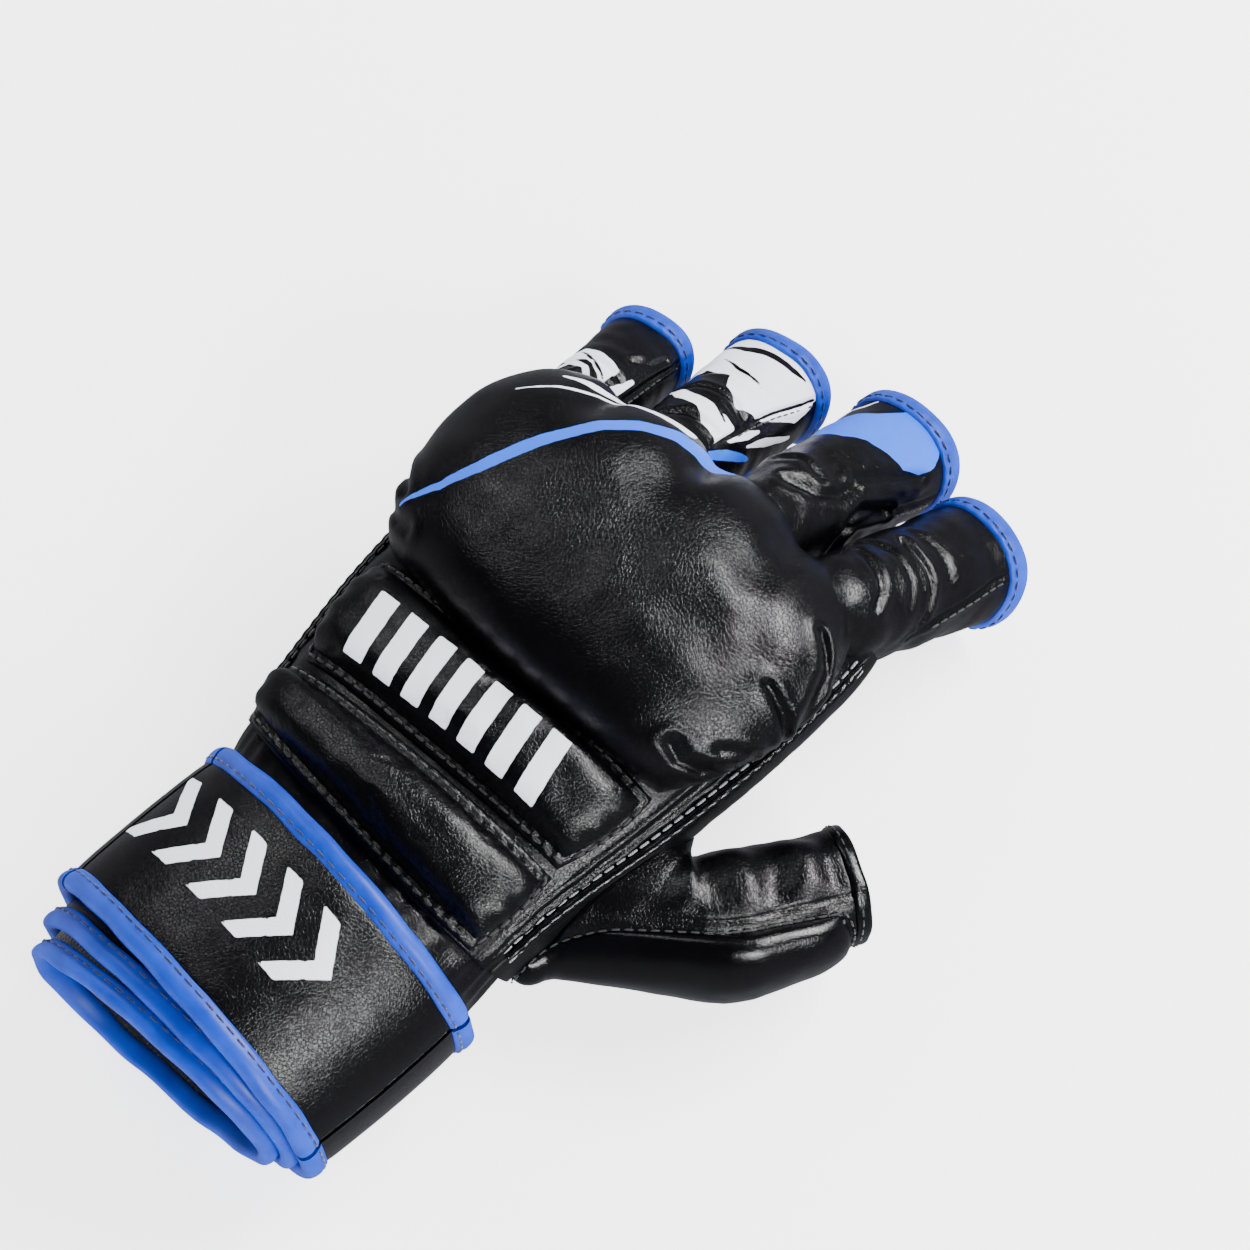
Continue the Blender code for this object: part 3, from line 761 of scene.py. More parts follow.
def inflate(name, top, pressure, grow, most, frames=20):
    """Inflates cloth over a pad with its edge held, and gives its points' movement, capped, in mm."""
    rows, columns = top.shape[:2]
    made = add_mesh(name, top, cells(rows, columns), [], FOAM)
    rim = border(rows, columns)
    inner = ((np.arange(rows - 2)[:, None] + 1) * columns + np.arange(columns - 2) + 1).reshape(-1)
    second = inner.reshape(rows - 2, columns - 2)
    held = np.concatenate((rim, second[0], second[-1], second[:, 0], second[:, -1]))
    group = made.vertex_groups.new(name="held")
    group.add(held.tolist(), 1.0, "REPLACE")
    cloth = made.modifiers.new("cloth", "CLOTH")
    settings = cloth.settings
    settings.quality = 6
    settings.mass = 0.2
    settings.tension_stiffness = 25
    settings.compression_stiffness = 25
    settings.shear_stiffness = 10
    settings.bending_stiffness = 0.4
    settings.use_pressure = True
    settings.uniform_pressure_force = pressure
    settings.shrink_min = -grow
    settings.vertex_group_mass = "held"
    settings.effector_weights.gravity = 0
    cloth.collision_settings.use_collision = False
    cloth.point_cache.frame_start = 1
    cloth.point_cache.frame_end = frames
    scene = bpy.context.scene
    for number in range(1, frames + 1):
        scene.frame_set(number)
    graph = bpy.context.evaluated_depsgraph_get()
    mesh = made.evaluated_get(graph).to_mesh()
    moved = np.empty(len(mesh.vertices) * 3, np.float32)
    mesh.vertices.foreach_get("co", moved)
    made.evaluated_get(graph).to_mesh_clear()
    bpy.data.objects.remove(made)
    scene.frame_set(1)
    step = moved.reshape(rows, columns, 3) / MM + ORIGIN - top
    size = np.linalg.norm(step, axis=-1, keepdims=True)
    return step * np.minimum(1, most / np.maximum(size, 1e-9))


def refined(values, rows, columns):
    """A coarse grid of vectors, smoothly resampled to rows and columns."""
    for axis, count in ((0, rows), (1, columns)):
        old = values.shape[axis]
        at = np.linspace(0, old - 1, count)
        i = np.minimum(at.astype(int), old - 2)
        t = at - i
        spots = [np.take(values, np.clip(i + k, 0, old - 1), axis=axis) for k in (-1, 0, 1, 2)]
        shape_t = [1] * values.ndim
        shape_t[axis] = count
        t = t.reshape(shape_t)
        p0, p1, p2, p3 = spots
        bend, twist = 2 * p0 - 5 * p1 + 4 * p2 - p3, 3 * (p1 - p2) + p3 - p0
        values = p1 + 0.5 * t * (p2 - p0 + t * (bend + t * twist))
    return values


def puffed(name, make, rows, columns, coarse, pressure, grow, most):
    """The top grid of a pad from make(a, b), with what the cloth adds to it."""
    top, attributes = make(*pad_grid(columns, rows))
    plain = make(*pad_grid(coarse[1], coarse[0]), plain=True)[0]
    step = inflate(name + "_cloth", plain, pressure, grow, most)
    return top + refined(step, rows, columns), attributes


def knuckle_top(a, b, plain=False):
    height, angle, y = knuckle_height(a, b)
    across = -52.6 * a
    under = -2.6 - 2.4 * bump(across, 38, 13)
    under = under * ease(-b, 0.5, 0.95) * crown(KNUCKLE.share(a), b, 3.2, 3.2)
    out = 0.4 + 1.2 * np.minimum(1, height / 3) + height
    if plain:
        return hand(angle, y + under, out), {}
    base = hand(angle, y, height)
    out = out + (0.9 * lumps(base, 30, 1.5) + 0.28 * lumps(base, 9, 4.0)) * ease(height, 0, 9)
    out = out + creases(across, y, CORNER_FOLDS) * ease(height, 0, 4)
    ripple = np.sin(across * 0.75 + 2.2 * np.sin(across * 0.21))
    out = out + 0.22 * ripple * ease(b, 0.55, 0.9) * (1 - ease(b, 0.93, 1))
    inks = {"ink_blue": stroke(across, y, ARC), "ink_white": print_distance(across, y, strokes=PAD_WHITES)}
    return hand(angle, y + under, out), inks


def make_knuckle_pad():
    top, inks = puffed("knuckle_pad", knuckle_top, 190, 240, (60, 76), 4.0, 0.0, 5.0)
    p, q = KNUCKLE.spot(*pad_grid(240, 190))

    def under(share):
        return hand(*knuckle_base(p * share, q * share), 0.3)

    cover = pad_solid("knuckle_pad_leather", top, under, PRINTED, inks)
    settle(cover, "hand", "black_leather", "knuckle_pad_cover")

    a, b = pad_grid(40, 34)
    core_p, core_q = (0.92 * share for share in KNUCKLE.spot(a, b))

    def core_under(share):
        return hand(*knuckle_base(core_p * share, core_q * share), 0.6)

    core_top = hand(*knuckle_base(core_p, core_q), 0.6 + 0.82 * knuckle_height(a, b)[0])
    core = pad_solid("knuckle_pad_core", core_top, core_under, FOAM)
    settle(core, "hand", "foam", "knuckle_pad_foam")


class Bar:
    """A padded bar across the back of the hand, with a stitched flange under it."""

    def __init__(self, name, angles, edges, height):
        self.name, self.edges, self.height = name, edges, height
        self.pad = HandPad(angles, 0.06)

    def base(self, p, q, spread=0.0):
        """Angle and y of a spot; spread widens the footprint by that many millimetres."""
        angle = self.pad.middle + (self.pad.angle(p) - self.pad.middle) * (1 + spread / 46)
        low, high = self.edges(angle)
        return angle, (low - spread) + (high - low + 2 * spread) * (1 + q) / 2

    def top(self, a, b, plain=False):
        p, q = self.pad.spot(a, b)
        angle, y = self.base(p, q)
        side = self.pad.share(a)
        height = self.height * crown(side, b, 9, 3.4)
        out = 1.2 + height
        if plain:
            return hand(angle, y, out), {}
        base = hand(angle, y, height)
        lumpy = 0.5 * lumps(base, 22, 2.5) + 0.22 * lumps(base, 7, 6.0)
        ends = np.sin(y * 0.9 + 3 * side) * 0.35 * ease(np.abs(side), 0.80, 0.95)
        x = hand_x(angle, y)
        return hand(angle, y, out + (lumpy + ends) * ease(height, 0, 3)), self.inks(x, y)

    def inks(self, x, y):
        return {}

    def make(self, material):
        top, inks = puffed(self.name, self.top, 70, 200, (24, 80), 3.0, 0.003, 3.0)
        p, q = self.pad.spot(*pad_grid(200, 70))

        def under(share):
            return hand(*self.base(p * share, q * share), 1.1)

        cover = pad_solid(self.name + "_leather", top, under, material, inks)
        settle(cover, "hand", "black_leather", self.name + "_cover")
        self.make_core()
        self.make_flange()

    def make_core(self):
        a, b = pad_grid(40, 16)
        p, q = self.pad.spot(a, b)
        p, q = p * 0.95, q * 0.90

        def under(share):
            return hand(*self.base(p * share, q * share), 1.3)

        top = hand(*self.base(p, q), 1.3 + 0.75 * self.height * crown(self.pad.share(a), b, 9, 3.4))
        core = pad_solid(self.name + "_core", top, under, FOAM)
        settle(core, "hand", "foam", self.name + "_foam")

    def make_flange(self):
        a, b = pad_grid(160, 40)
        p, q = self.pad.spot(a, b)
        angle, y = self.base(p, q, spread=2.6)
        crimp = 0.16 * np.sin(hand_x(angle, y) * 1.8 + y * 0.9)
        top = hand(angle, y, 0.35 + (1.35 + crimp) * crown(a, b, 40, 22))

        def under(share):
            return hand(*self.base(p * share, q * share, spread=2.6), 0.3)

        settle(pad_solid(self.name + "_flange", top, under, LEATHER), "hand", "black_leather")
        p, q = self.pad.spot(*pad_rim(120, 30))
        path = hand(*self.base(p, q, spread=1.25), 1.62)
        settle(stitches(self.name + "_stitches", [path], BLACK_THREAD), "hand", "black_leather")


class UpperBar(Bar):
    def inks(self, x, y):
        """A row of plain slanted bars."""
        lean = x + (y - 19.8) * 0.15
        turn = (lean + 33.8) % 8.4 - 4.2
        row = np.minimum(2.55 - np.abs(turn), 8.2 - np.abs(y - 19.8))
        ends = np.minimum(lean + 33.6, 24.8 - lean)
        return {"ink_white": np.minimum(row, ends)}


def upper_edges(angle):
    x = hand_x(angle, 20.0)
    return 9.2 + 0 * x, 33.0 - 0.05 * x


def lower_edges(angle):
    return wrist_edge(angle) + 3.0, 2.6 + 0 * angle


# ---------------------------------------------------------------- fingers

# Folds and prints of the fingers: along the finger, and s from the back's middle to the thumb side.
FINGER_FOLDS = {
    "index": (
        (0.8, 1.1, [(-3, -6), (-4, 0), (-6, 5), (-10, 9.8)]),
        (0.9, 0.9, [(10.6, -4), (10.8, 4), (9.4, 11), (7, 18)]),
        (0.5, 0.9, [(3, -9), (5, -2), (4, 5), (1, 12)]),
        (0.5, 1.3, [(16, -6), (18, 1), (17, 8)]),
    ),
    "middle": (
        (1.5, 1.3, [(3, 20.5), (8, 14.6), (11.8, 13.7), (22.8, 17.4)]),
        (1.0, 1.4, [(-4, -2), (0, 4), (6, 7.5), (12, 7)]),
        (0.9, 1.4, [(14, 5.6), (26, 9.5), (36, 13.3)]),
        (0.5, 1.0, [(2, -10), (5, -4), (4, 2)]),
    ),
    "ring": (
        (0.8, 1.0, [(-4, -8), (0, -2), (1, 5)]),
        (0.7, 1.0, [(8, -12), (12, -6), (13, 2), (11, 8)]),
        (0.5, 1.1, [(20, -10), (23, -3), (24, 5)]),
    ),
    "pinky": (
        (0.8, 1.0, [(0, -10), (4, -4), (5, 4)]),
        (0.6, 1.0, [(10, -12), (12, -3), (10, 7)]),
        (0.5, 1.0, [(18, 4), (22, 9), (28, 11)]),
    ),
}
FINGER_SEAMS = {
    "index": [(4, 21), (9.9, 19.2), (18, 16.7), (31.7, 12.8), (37, 11.8)],
    "middle": [(5, 17), (12, 16.5), (22.8, 18.2), (37, 20.8), (44, 21.2)],
    "ring": [(-2, 8.3), (5, 8.7), (11, 9), (21.8, 10.8), (34.9, 14.1), (39, 15)],
    "pinky": [(0, 11), (10, 12), (22, 13), (33, 14.5)],
}


# Prints of the fingers, in the same coordinates: filled outlines and (run, s, half width) strokes to paint,
# and strokes that cut through them.
FINGER_PRINTS = {
    "ring": dict(
        white=dict(
            fields=(
                [
                    (41.5, -16), (42, -2.3), (42, 6.9), (41.5, 15), (36, 16.5), (29.3, 17), (16.2, 10.5),
                    (12.1, 3.7), (16, -1), (20.9, -2.8), (21.5, -10.2), (16.6, -15), (31, -16),
                ],
                [
                    (9.7, -15), (8.5, -9), (7.3, -4.2), (7, 2.1), (6.2, 8.6), (-2, 8.7), (-1, 2.7),
                    (3.4, -1.5), (4, -8),
                ],
            ),
            strokes=(
                [(2.5, 9.8, 0.4), (10, 11.6, 1.2), (15.1, 13, 0.5)],
                [(9, 14.4, 0.4), (17, 17, 1.2), (28, 20.5, 0.5)],
            ),
        ),
        cuts=(
            [(35.1, -16, 0.5), (34.6, -6.3, 1.1), (36.3, -0.2, 1.2), (37, 4.7, 1.0), (38.4, 9.0, 0.3)],
            [(11, -6, 0.3), (8, 0, 0.7), (5, 5, 0.3)],
            [(28, -9, 0.2), (25, -3, 0.6), (24, 4, 0.2)],
            [(point[0], point[1], 0.45) for point in FINGER_SEAMS["ring"]],
        ),
        blue=dict(strokes=([(-5, 10, 1.2), (0, 12.5, 1.5), (5, 15.5, 1.2), (10, 18.5, 0.4)],)),
    ),
    "middle": dict(
        white=dict(strokes=([(18, -18, 0.4), (30, -16, 1.5), (38, -13.6, 1.2), (44, -9, 0.3)],)),
        blue=dict(
            fields=(
                [
                    (47, -1), (47, 7), (44, 10.5), (41, 12.4), (35.7, 12.4), (30.4, 9.1), (29.2, 4.1),
                    (26.7, -0.6), (22.4, -4.1), (20.2, -9.5), (19.4, -15), (25.3, -14.7), (32.2, -11.2),
                    (37.5, -5.2), (43, -2),
                ],
            ),
        ),
    ),
    "pinky": dict(
        white=dict(
            fields=(
                [(10, -15), (13.4, -14), (15.8, -8.5), (14.5, -1.6), (12, 4), (4, 3), (9, -2), (11.2, -7)],
            ),
            strokes=(
                [(5, -15, 0.4), (8.6, -9, 0.9), (7, -3, 0.9), (1, 2, 0.6)],
                [(0, 4, 1.2), (6, 7.5, 1.6), (13, 9, 0.8)],
            ),
        ),
        cuts=([(14, -9, 0.2), (11.5, -3, 0.5), (6, 2.5, 0.3)],),
    ),
}


def finger_inks(name, run, s):
    prints = FINGER_PRINTS.get(name, {})
    inks = {"ink_" + ink: print_distance(run, s, **prints[ink]) for ink in prints if ink != "cuts"}
    if "cuts" in prints:
        inks["ink_white"] = np.minimum(inks["ink_white"], -print_distance(run, s, strokes=prints["cuts"]))
    return inks


def make_finger(name, digit):
    length = digit["length"]
    degrees = even_angles(0, 360, 161, 13, 14, FINGER_POWER)[:-1]
    outer = np.linspace(-24, length + 1.2, 110)
    inner = np.linspace(length + 1.2, -24, 14)
    run = outer[:, None]
    s = (90 - degrees) * FINGER_MM_PER_DEGREE
    tucked = -1.6 * (1 - ease(run, -21, -10))
    flat = digit_point(digit, degrees, run)
    folds = creases(run, s, FINGER_FOLDS[name] + ((0.7, 0.7, FINGER_SEAMS[name]),))
    gather = 0.28 * lumps(flat, 7, 11.0) * (1 - ease(run, 4, 22))
    seams = -0.55 * bump(degrees, 176, 3.2)
    out = tucked + folds + gather + seams + 0.55 * lumps(flat, 13, 2.0) + 0.16 * lumps(flat, 4.5, 5.0)
    calm = 1 - 0.75 * ease(run, length - 4, length + 1)
    upper = digit_point(digit, degrees, run, tucked + (out - tucked) * calm)
    lower = digit_point(digit, degrees, inner[:, None], -1.7)
    points = np.concatenate((upper, lower))
    inks = finger_inks(name, run, s)
    blank = np.full((len(inner), len(degrees)), OUTSIDE_PRINT)
    inks = {key: np.concatenate((values, blank)) for key, values in inks.items()}
    sleeve = hoop(name + "_sleeve_leather", points, PRINTED if inks else LEATHER, inks)
    centre, along = digit["centre"], digit_frame(digit)[1]
    ends = (centre - along * 9, centre + along * 7)
    settle_bent(sleeve, ("hand", name), ends, "black_leather", name + "_back", name + "_palm")

    along_seam = np.linspace(FINGER_SEAMS[name][0][0] + 8, length - 1.5, 60)
    across = np.interp(along_seam, *zip(*FINGER_SEAMS[name])) + 1.3
    lines = [
        digit_point(digit, 90 - across / FINGER_MM_PER_DEGREE, along_seam, 0.25),
        digit_point(digit, 171 + 0 * across, along_seam, 0.2),
    ]
    settle(stitches(name + "_side_stitches", lines, BLACK_THREAD, 2.0, 0.9, 0.24), name, "black_leather")
    make_tape_ring(name, digit)


def make_tape_ring(name, digit):
    """The blue tape folded over a finger's mouth."""
    degrees = even_angles(0, 360, 181, 14, 13, FINGER_POWER)[:-1]
    ring = np.radians(np.linspace(0, 360, 28, endpoint=False))
    along = np.sign(np.cos(ring)) * np.abs(np.cos(ring)) ** 0.72 * 3.15
    rise = np.sign(np.sin(ring)) * np.abs(np.sin(ring)) ** 0.72 * 1.85
    groove = -0.38 * bump(along, -1.5, 0.75) * (rise > 0)
    run = digit["length"] + 2.9 + along[:, None]
    pucker = 0.13 * np.sin(np.radians(degrees) * 25) * (rise[:, None] > 0) * bump(along[:, None], -1.5, 1.6)
    points = digit_point(digit, degrees, run, -0.45 + (rise + groove)[:, None] + pucker)
    wavy = 0.35 * lumps(points, 9, 7.0)[..., None] * digit_frame(digit)[1]
    tape = hoop(name + "_mouth_tape", points + wavy, TAPE_BLUE)
    settle(tape, name, "blue_binding", name + "_binding")
    around = np.append(degrees, 360)
    line = digit_point(digit, around, digit["length"] + 1.4, 1.12)
    settle(stitches(name + "_mouth_stitches", [line], BLUE_THREAD, 2.4, 0.9, 0.27), name, "blue_binding")


# ---------------------------------------------------------------- thumb


def thumb_surface(degrees, t, out=0.0, root_out=0.4):
    """The thumb's leather from the hand, t = 0, over the gusset, t = 1, to the mouth, t = 2.

    Below t = 0 it runs on down the hand's side, towards the wrist.
    """
    degrees, t = np.broadcast_arrays(np.asarray(degrees, float), np.asarray(t, float))
    c, s = np.cos(np.radians(degrees)), np.sin(np.radians(degrees))
    total = 0
    for shift in (-0.12, -0.04, 0.04, 0.12):
        spot = np.clip(t + shift, np.minimum(t, 0), 2)
        behind = np.minimum(spot, 0)
        heel = hand(-20 + 28 * s - 20 * behind, 16 - 23 * c + 17 * behind, root_out + out)
        collar = gusset(degrees, np.clip(spot, 0, 1), out, root_out)
        sleeve = digit_point(THUMB, degrees, np.maximum(spot - 1, 0) * (THUMB["length"] + 0.8), out)
        ahead = np.where((spot < 1)[..., None], collar, sleeve)
        total = total + np.where((spot < 0)[..., None], heel, ahead) / 4
    return total


def make_thumb():
    degrees = even_angles(0, 360, 161, 13, 14, FINGER_POWER)[:-1]
    t = np.linspace(0, 2, 100)[:, None]
    flat = thumb_surface(degrees, t)
    top_side = bump(degrees, 105, 42)
    wrinkles = 0.75 * np.sin(t * 13 + 1.3 * np.sin(np.radians(degrees) * 2 + 1))
    wrinkles = wrinkles * top_side * ease(t, 0.25, 0.7) * (1 - ease(t, 1.8, 2))
    out = wrinkles + 0.5 * lumps(flat, 12, 4.0) + 0.15 * lumps(flat, 4.5, 8.0)
    out = out - 0.6 * bump(degrees, 62, 2.5) * ease(t, 0.1, 0.4)
    upper = thumb_surface(degrees, t, out)
    lower = thumb_surface(degrees, np.linspace(2, 0, 16)[:, None], -1.6)
    sleeve = hoop("thumb_sleeve_leather", np.concatenate((upper, lower)), LEATHER)
    centre, along = THUMB["centre"], digit_frame(THUMB)[1]
    ends = (centre - along * 16, centre + along * 3)
    bodies = ("hand", "thumb")
    settle_bent(sleeve, bodies, ends, "black_leather", "thumb_gusset", "thumb_sleeve")

    ring = np.radians(np.linspace(0, 360, 20, endpoint=False))
    run = THUMB["length"] + 1.6 + 2.0 * np.sign(np.cos(ring)) * np.abs(np.cos(ring)) ** 0.6
    rise = -0.55 + 1.25 * np.sign(np.sin(ring)) * np.abs(np.sin(ring)) ** 0.6
    around = np.broadcast_to(degrees, (20, len(degrees)))
    hem_points = digit_point(THUMB, around, run[:, None], rise[:, None])
    ragged = 0.4 * lumps(hem_points, 7, 3.0)[..., None] * along
    hem = hoop("thumb_mouth_hem", hem_points + ragged, SMOOTH)
    settle(hem, "thumb", "black_leather", "thumb_hem")
    around = np.append(degrees, 360)
    lines = [digit_point(THUMB, around, THUMB["length"] + 1.0, 0.75)]
    settle(stitches("thumb_mouth_stitches", lines, BLACK_THREAD, 2.2, 0.9, 0.22), "thumb", "black_leather")
    make_thumb_guard(bodies, ends)


def guard_spot(a, b, share=1.0):
    """Angle round the thumb and t of a spot on the thumb guard's footprint, shrunk to that share."""
    p, q = a * np.sqrt(1 - 0.2 * b * b) * share, b * np.sqrt(1 - 0.2 * a * a) * share
    return -8 + 57 * p * (0.55 + 0.45 * ease(q, -1.0, -0.35)), 0.76 + 1.18 * q


def guard_top(a, b, plain=False):
    degrees, t = guard_spot(a, b)
    height = 6.9 * (1 - 0.2 * ease(b, -0.2, 0.9)) * crown(a, b, 3.0, 3.4)
    out = 0.4 + height
    if plain:
        return thumb_surface(degrees, t, out), {}
    base = thumb_surface(degrees, t, height)
    out = out + (0.45 * lumps(base, 20, 1.0) + 0.12 * lumps(base, 6, 2.0)) * ease(height, 0, 3)
    return thumb_surface(degrees, t, out), {}


def make_thumb_guard(bodies, ends):
    top, _ = puffed("thumb_guard", guard_top, 130, 80, (52, 34), 3.0, 0.0, 2.5)
    grid = pad_grid(80, 130)

    def under(share):
        return thumb_surface(*guard_spot(*grid, share), 0.3)

    cover = pad_solid("thumb_guard_leather", top, under, SMOOTH)
    settle_bent(cover, bodies, ends, "black_leather", "thenar_pad_cover", "thumb_pad_cover")
    path = thumb_surface(*guard_spot(*pad_rim(60, 100), 1.045), 0.55)
    seam = stitches("thumb_guard_stitches", [path], BLACK_THREAD, 2.2, 0.9, 0.24)
    settle_bent(seam, bodies, ends, "black_leather")

    for name, body, node, middle, half in (
        ("thenar_pad_core", "hand", "thenar_pad_foam", 0.50, 0.36),
        ("thumb_pad_core", "thumb", "thumb_pad_foam", 1.50, 0.36),
    ):
        a, b = pad_grid(20, 18)

        def below(share):
            return thumb_surface(-8 + 46 * a * share, middle + half * b * share, 0.5)

        top = thumb_surface(-8 + 46 * a, middle + half * b, 0.5 + 4.2 * crown(a, b, 3, 3))
        core = pad_solid(name, top, below, FOAM)
        settle(core, body, "foam", node)


# ---------------------------------------------------------------- wrist


def band_rows(
    degrees, low, high, middle_out, half_thick, slants=(0, 0), power=6.0, sides=64, swell=0.0, groove=None
):
    """Closed sections of a flat band at each wrist angle, from its low edge to its high edge."""
    turn = even_angles(0, 360, sides + 1, (high - low) / 2, half_thick, power)[:-1]
    across, rise, _, _ = superellipse((high - low) / 2, half_thick, power, turn)
    share = across / ((high - low) / 2)
    outside = np.clip(rise / half_thick, 0, 1)
    out = middle_out + rise + swell * (1 - share**2) * outside
    if groove is not None:
        out = out - 0.36 * bump(across, groove, 0.8) * outside
    degrees = np.asarray(degrees)[:, None]
    y = (low + high) / 2 + across[None, :] + 0 * degrees
    points = wrist(degrees, y, np.broadcast_to(out, y.shape))
    tilt = slants[0] * (1 - share) / 2 + slants[1] * (1 + share) / 2
    points[..., 1] += points[..., 0] * tilt
    return points, y, outside


def chevrons(degrees, y):
    """A row of plain arrowheads along the strap's face."""
    x = superellipse(WRIST_HALF_WIDTH, WRIST_HALF_HEIGHT, WRIST_POWER, degrees)[0]
    point = x + 0.8 * np.abs(y + 45.3) + 30
    turn = (point + 5.0) % 12.4 - 6.2
    row = np.minimum(2.6 - np.abs(turn), 9.6 - np.abs(y + 45.3))
    ends = np.minimum(point + 17, 57 - point)
    return np.minimum(row, ends) * 0.8


def make_strap(name, body, angles, count, printed=False):
    """A stretch of the strap: a padded leather face between two rounded blue tapes, with stitch lines."""
    degrees = np.linspace(*angles, count)
    low, high = STRAP_START + TAPE - 0.9, STRAP_END - TAPE + 0.9
    points, y, outside = band_rows(degrees, low, high, -1.5, 1.35, power=9, sides=112, swell=0.55)
    wave = (0.35 * lumps(points, 18, 2.0) + 0.14 * lumps(points, 6, 5.0)) * outside
    points[..., 2] += wave * 0.8
    inks = {}
    if printed:
        inks = {"ink_white": np.where(outside > 0.4, chevrons(degrees[:, None], y), OUTSIDE_PRINT)}
    face = rod(name + "_leather", points, PRINTED if printed else LEATHER, inks)
    settle(face, body, "black_leather", name)
    lines = []
    for edge, low, high, groove in (
        ("lower", STRAP_START - 0.4, STRAP_START + TAPE + 0.4, 1.5),
        ("upper", STRAP_END - TAPE - 0.4, STRAP_END + 0.4, -1.5),
    ):
        points, _, outside = band_rows(
            degrees, low, high, -1.35, 2.25, power=2.7, sides=30, swell=0.1, groove=groove
        )
        points[..., 1] += 0.35 * lumps(points, 10, 6.0)
        tape = rod(f"{name}_{edge}_tape", points, TAPE_BLUE)
        settle(tape, body, "blue_binding", f"{name}_{edge}_binding")
        lines.append(wrist(degrees, (low + high) / 2 + groove + 0 * degrees, 0.58))
    settle(stitches(name + "_tape_stitches", lines, BLUE_THREAD, 2.6, 0.9, 0.28), body, "blue_binding")


def make_layer(name, start, slant, depth, thickness, slot, material):
    """A full turn inside the strap, with a blue tape on its elbow edge."""
    degrees = np.linspace(0, 360, 200, endpoint=False)
    top = start + TAPE - 0.6
    points, _, _ = band_rows(
        degrees, top, STRAP_END - 1, -depth - thickness / 2, thickness / 2, (slant, 0), power=8, sides=72
    )
    settle(hoop(name + "_layer", points, material), "wrist", slot, name)
    points, _, _ = band_rows(
        degrees, start - 0.3, start + TAPE + 0.2, -depth - thickness / 2 + 0.35, thickness / 2 + 0.75,
        (slant, slant), power=2.7, sides=28, groove=1.3,
    )
    points[..., 1] += 0.4 * lumps(points, 11, 4.0)
    settle(hoop(name + "_tape", points, TAPE_BLUE), "wrist", "blue_binding", name + "_binding")
    around = np.linspace(0, 360, 240)
    line = wrist(around, start + 3.75 + 0 * around, -depth + 0.85)
    line[..., 1] += line[..., 0] * slant
    settle(stitches(name + "_tape_stitches", [line], BLUE_THREAD, 2.6, 0.9, 0.26), "wrist", "blue_binding")


def make_neck():
    """The leather between the hand shell and the strap."""
    degrees = even_angles(0, 360, 181, 44, 26, 2.4)[:-1]
    t = np.linspace(0, 1, 40)[:, None]
    near = hand(degrees, wrist_edge(degrees) + 5, -2.1)
    far = wrist(degrees, -36 + 0 * degrees, -3.9)
    blend = ease(t, 0.05, 0.85)[..., None]
    flat = near + (far - near) * np.stack((blend[..., 0], t + 0 * blend[..., 0], blend[..., 0]), axis=-1)
    outward = flat - flat.mean(axis=1, keepdims=True)
    outward[..., 1] = 0
    outward /= np.linalg.norm(outward, axis=-1, keepdims=True)
    gathers = np.sin(np.radians(degrees) * 26 + 2 * np.sin(np.radians(degrees) * 5))
    gathers = gathers * 0.35 * ease(t, 0, 0.25) * (1 - ease(t, 0.35, 0.6))
    upper = flat + outward * gathers[..., None]
    lower = (flat - outward * 1.1)[::-1]
    neck = hoop("wrist_neck_leather", np.concatenate((upper, lower)), LEATHER)
    ends = ((0, WRIST_PIVOT_Y + 6, WRIST_Z), (0, WRIST_PIVOT_Y - 3, WRIST_Z))
    settle_bent(neck, ("hand", "wrist"), ends, "black_leather")


def make_wrist():
    make_strap("strap_flap", "strap_flap", (11.8, 148.3), 190, printed=True)
    make_strap("strap_tab", "strap_tab", (150.7, 187), 60)
    make_strap("palm_turn", "wrist", (189, 369.3), 200)
    make_layer("inner_turn", -78, 0.07, 5.1, 2.6, "black_leather", LEATHER)
    make_layer("cuff", -83, 0.13, 8.9, 2.2, "black_elastic", ELASTIC)
    make_neck()
    for name, material in (("hook_patch", HOOKS), ("loop_patch", LOOPS)):
        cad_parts[name].data.materials.clear()
        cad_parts[name].data.materials.append(material)


# ---------------------------------------------------------------- scene


CAMERA_LENS, CAMERA_SENSOR = 108.86, 36
CAMERA_AT = Vector((0.27898, -0.20007, 0.83811))
CAMERA_RIGHT = Vector((0.66863, 0.74299, -0.03019))
CAMERA_UP = Vector((-0.66674, 0.61699, 0.41807))


def make_camera():
    data = bpy.data.cameras.new("camera")
    data.lens, data.sensor_width = CAMERA_LENS, CAMERA_SENSOR
    camera = bpy.data.objects.new("camera", data)
    back = CAMERA_RIGHT.cross(CAMERA_UP)
    turn = Matrix((CAMERA_RIGHT, CAMERA_UP, back)).transposed().to_4x4()
    camera.matrix_world = Matrix.Translation(CAMERA_AT) @ turn
    bpy.context.scene.collection.objects.link(camera)
    bpy.context.scene.camera = camera


def soft_light(name, spot, aim, size, power, colour=(1, 1, 1)):
    data = bpy.data.lights.new(name, "AREA")
    data.shape, data.size, data.size_y = "RECTANGLE", size[0], size[1]
    data.energy, data.color = power, colour
    light = bpy.data.objects.new(name, data)
    light.location = spot
    light.rotation_euler = (Vector(aim) - Vector(spot)).to_track_quat("-Z", "Y").to_euler()
    bpy.context.scene.collection.objects.link(light)


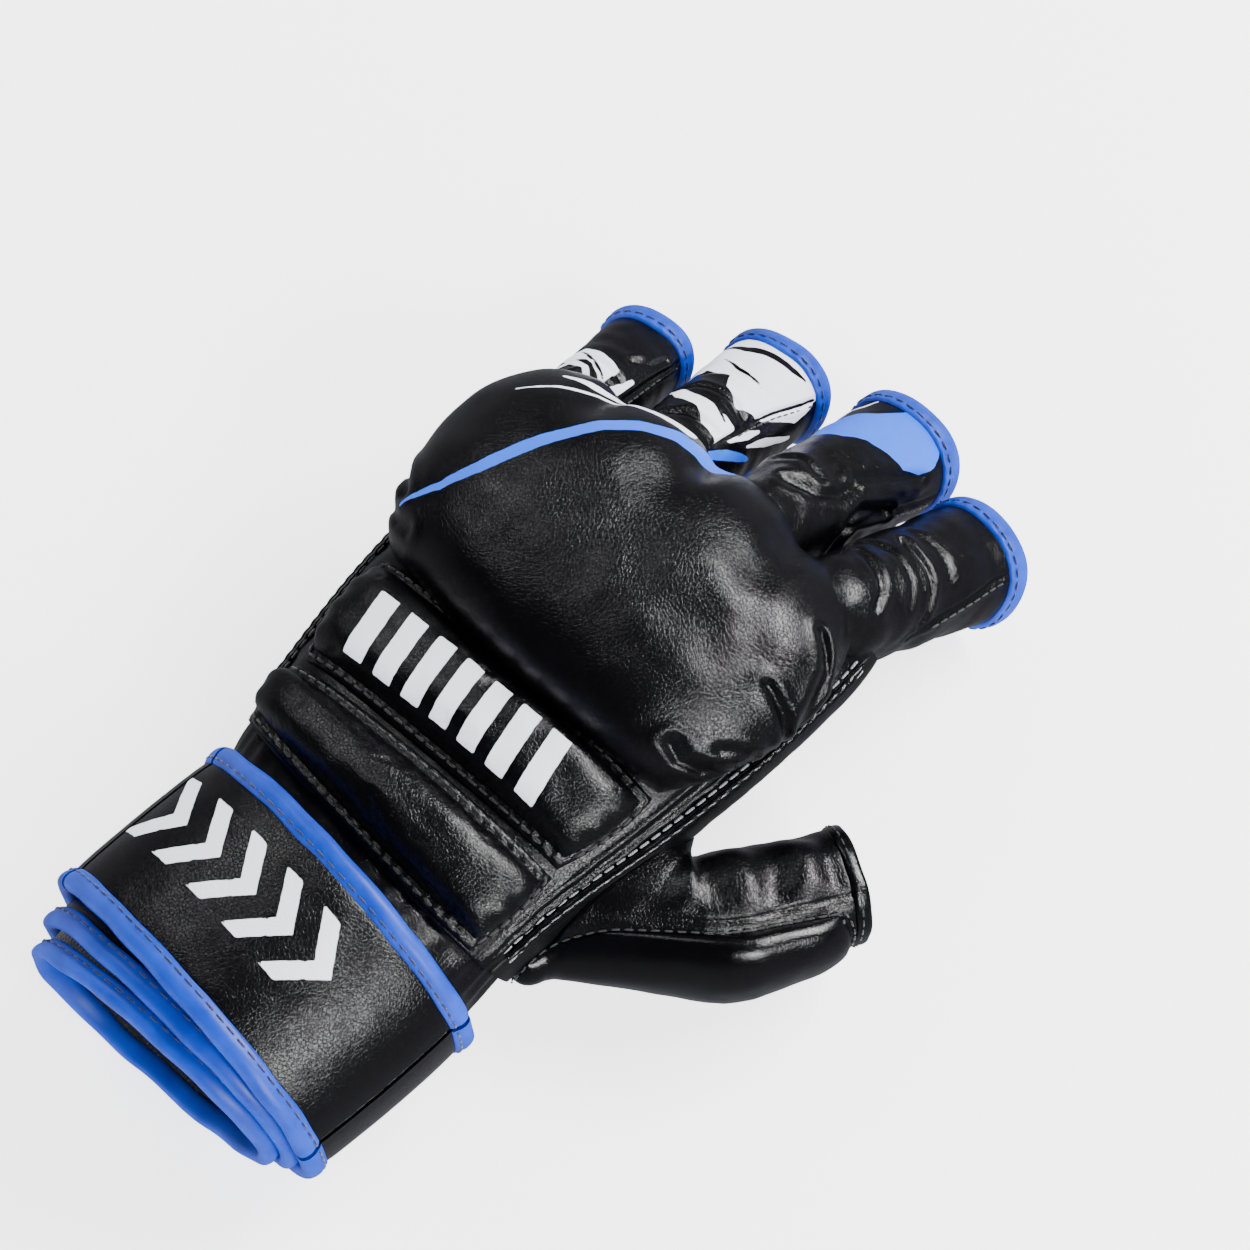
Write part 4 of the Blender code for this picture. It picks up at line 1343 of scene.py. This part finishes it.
def make_studio():
    """A white cyclorama, floor and curved wall in one. It lights the glove but isn't mirrored in it."""
    material = Nodes("pale_studio_floor", 0.9, Emission_Color=(1, 1, 1, 1), Emission_Strength=2.3)
    material.paint(material.blend(material.noise(3, 2), (0.86, 0.86, 0.87), (0.90, 0.90, 0.91)))
    turn = np.radians(np.arange(0, 360, 3.75))
    profile = ((2.6, 0.0), (3.1, 0.05), (3.5, 0.25), (3.75, 0.6), (3.85, 1.1), (3.9, 2.2))
    rings = [stacked(r * np.cos(turn), r * np.sin(turn), z) for r, z in profile]
    walls = cells(len(rings), len(turn), False, True).tolist()
    mesh = bpy.data.meshes.new("studio_floor")
    mesh.from_pydata(np.concatenate(rings).tolist(), [], walls + [list(range(len(turn)))])
    mesh.materials.append(material.material)
    floor = bpy.data.objects.new("studio_floor", mesh)
    floor.location.z = cad_box[0][2] - 0.0005
    floor.visible_glossy = False
    bpy.context.scene.collection.objects.link(floor)
    make_world()
    soft_light("long_softbox", (0.28, 0.86, 1.04), (0.02, 0.02, 0.04), (0.80, 0.24), 32)
    soft_light("thumb_side_softbox", (1.12, -0.05, 0.98), (0.02, 0.0, 0.04), (0.40, 0.40), 20)
    soft_light("little_finger_side_softbox", (-0.90, 0.20, 1.22), (0, -0.05, 0.04), (0.40, 0.40), 4)


def make_world():
    """What the leather mirrors: dim walls and a dark ceiling, so that it stays black."""
    world = bpy.data.worlds.new("studio")
    world.use_nodes = True
    tree = world.node_tree
    where = tree.nodes.new("ShaderNodeTexCoord")
    split = tree.nodes.new("ShaderNodeSeparateXYZ")
    ramp = tree.nodes.new("ShaderNodeValToRGB")
    tree.links.new(where.outputs["Generated"], split.inputs[0])
    tree.links.new(split.outputs["Z"], ramp.inputs["Fac"])
    tree.links.new(ramp.outputs["Color"], tree.nodes["Background"].inputs["Color"])
    stops = ramp.color_ramp.elements
    stops[0].position, stops[0].color = 0.05, (0.30, 0.30, 0.33, 1)
    stops[1].position, stops[1].color = 0.45, (0.03, 0.03, 0.035, 1)
    bpy.context.scene.world = world


make_hand()
make_knuckle_pad()
UpperBar("upper_bar", (37, 146), upper_edges, 6.6).make(PRINTED)
Bar("lower_bar", (35, 149), lower_edges, 6.6).make(LEATHER)
for finger_name, finger in FINGERS.items():
    make_finger(finger_name, finger)
make_thumb()
make_wrist()
make_camera()
make_studio()
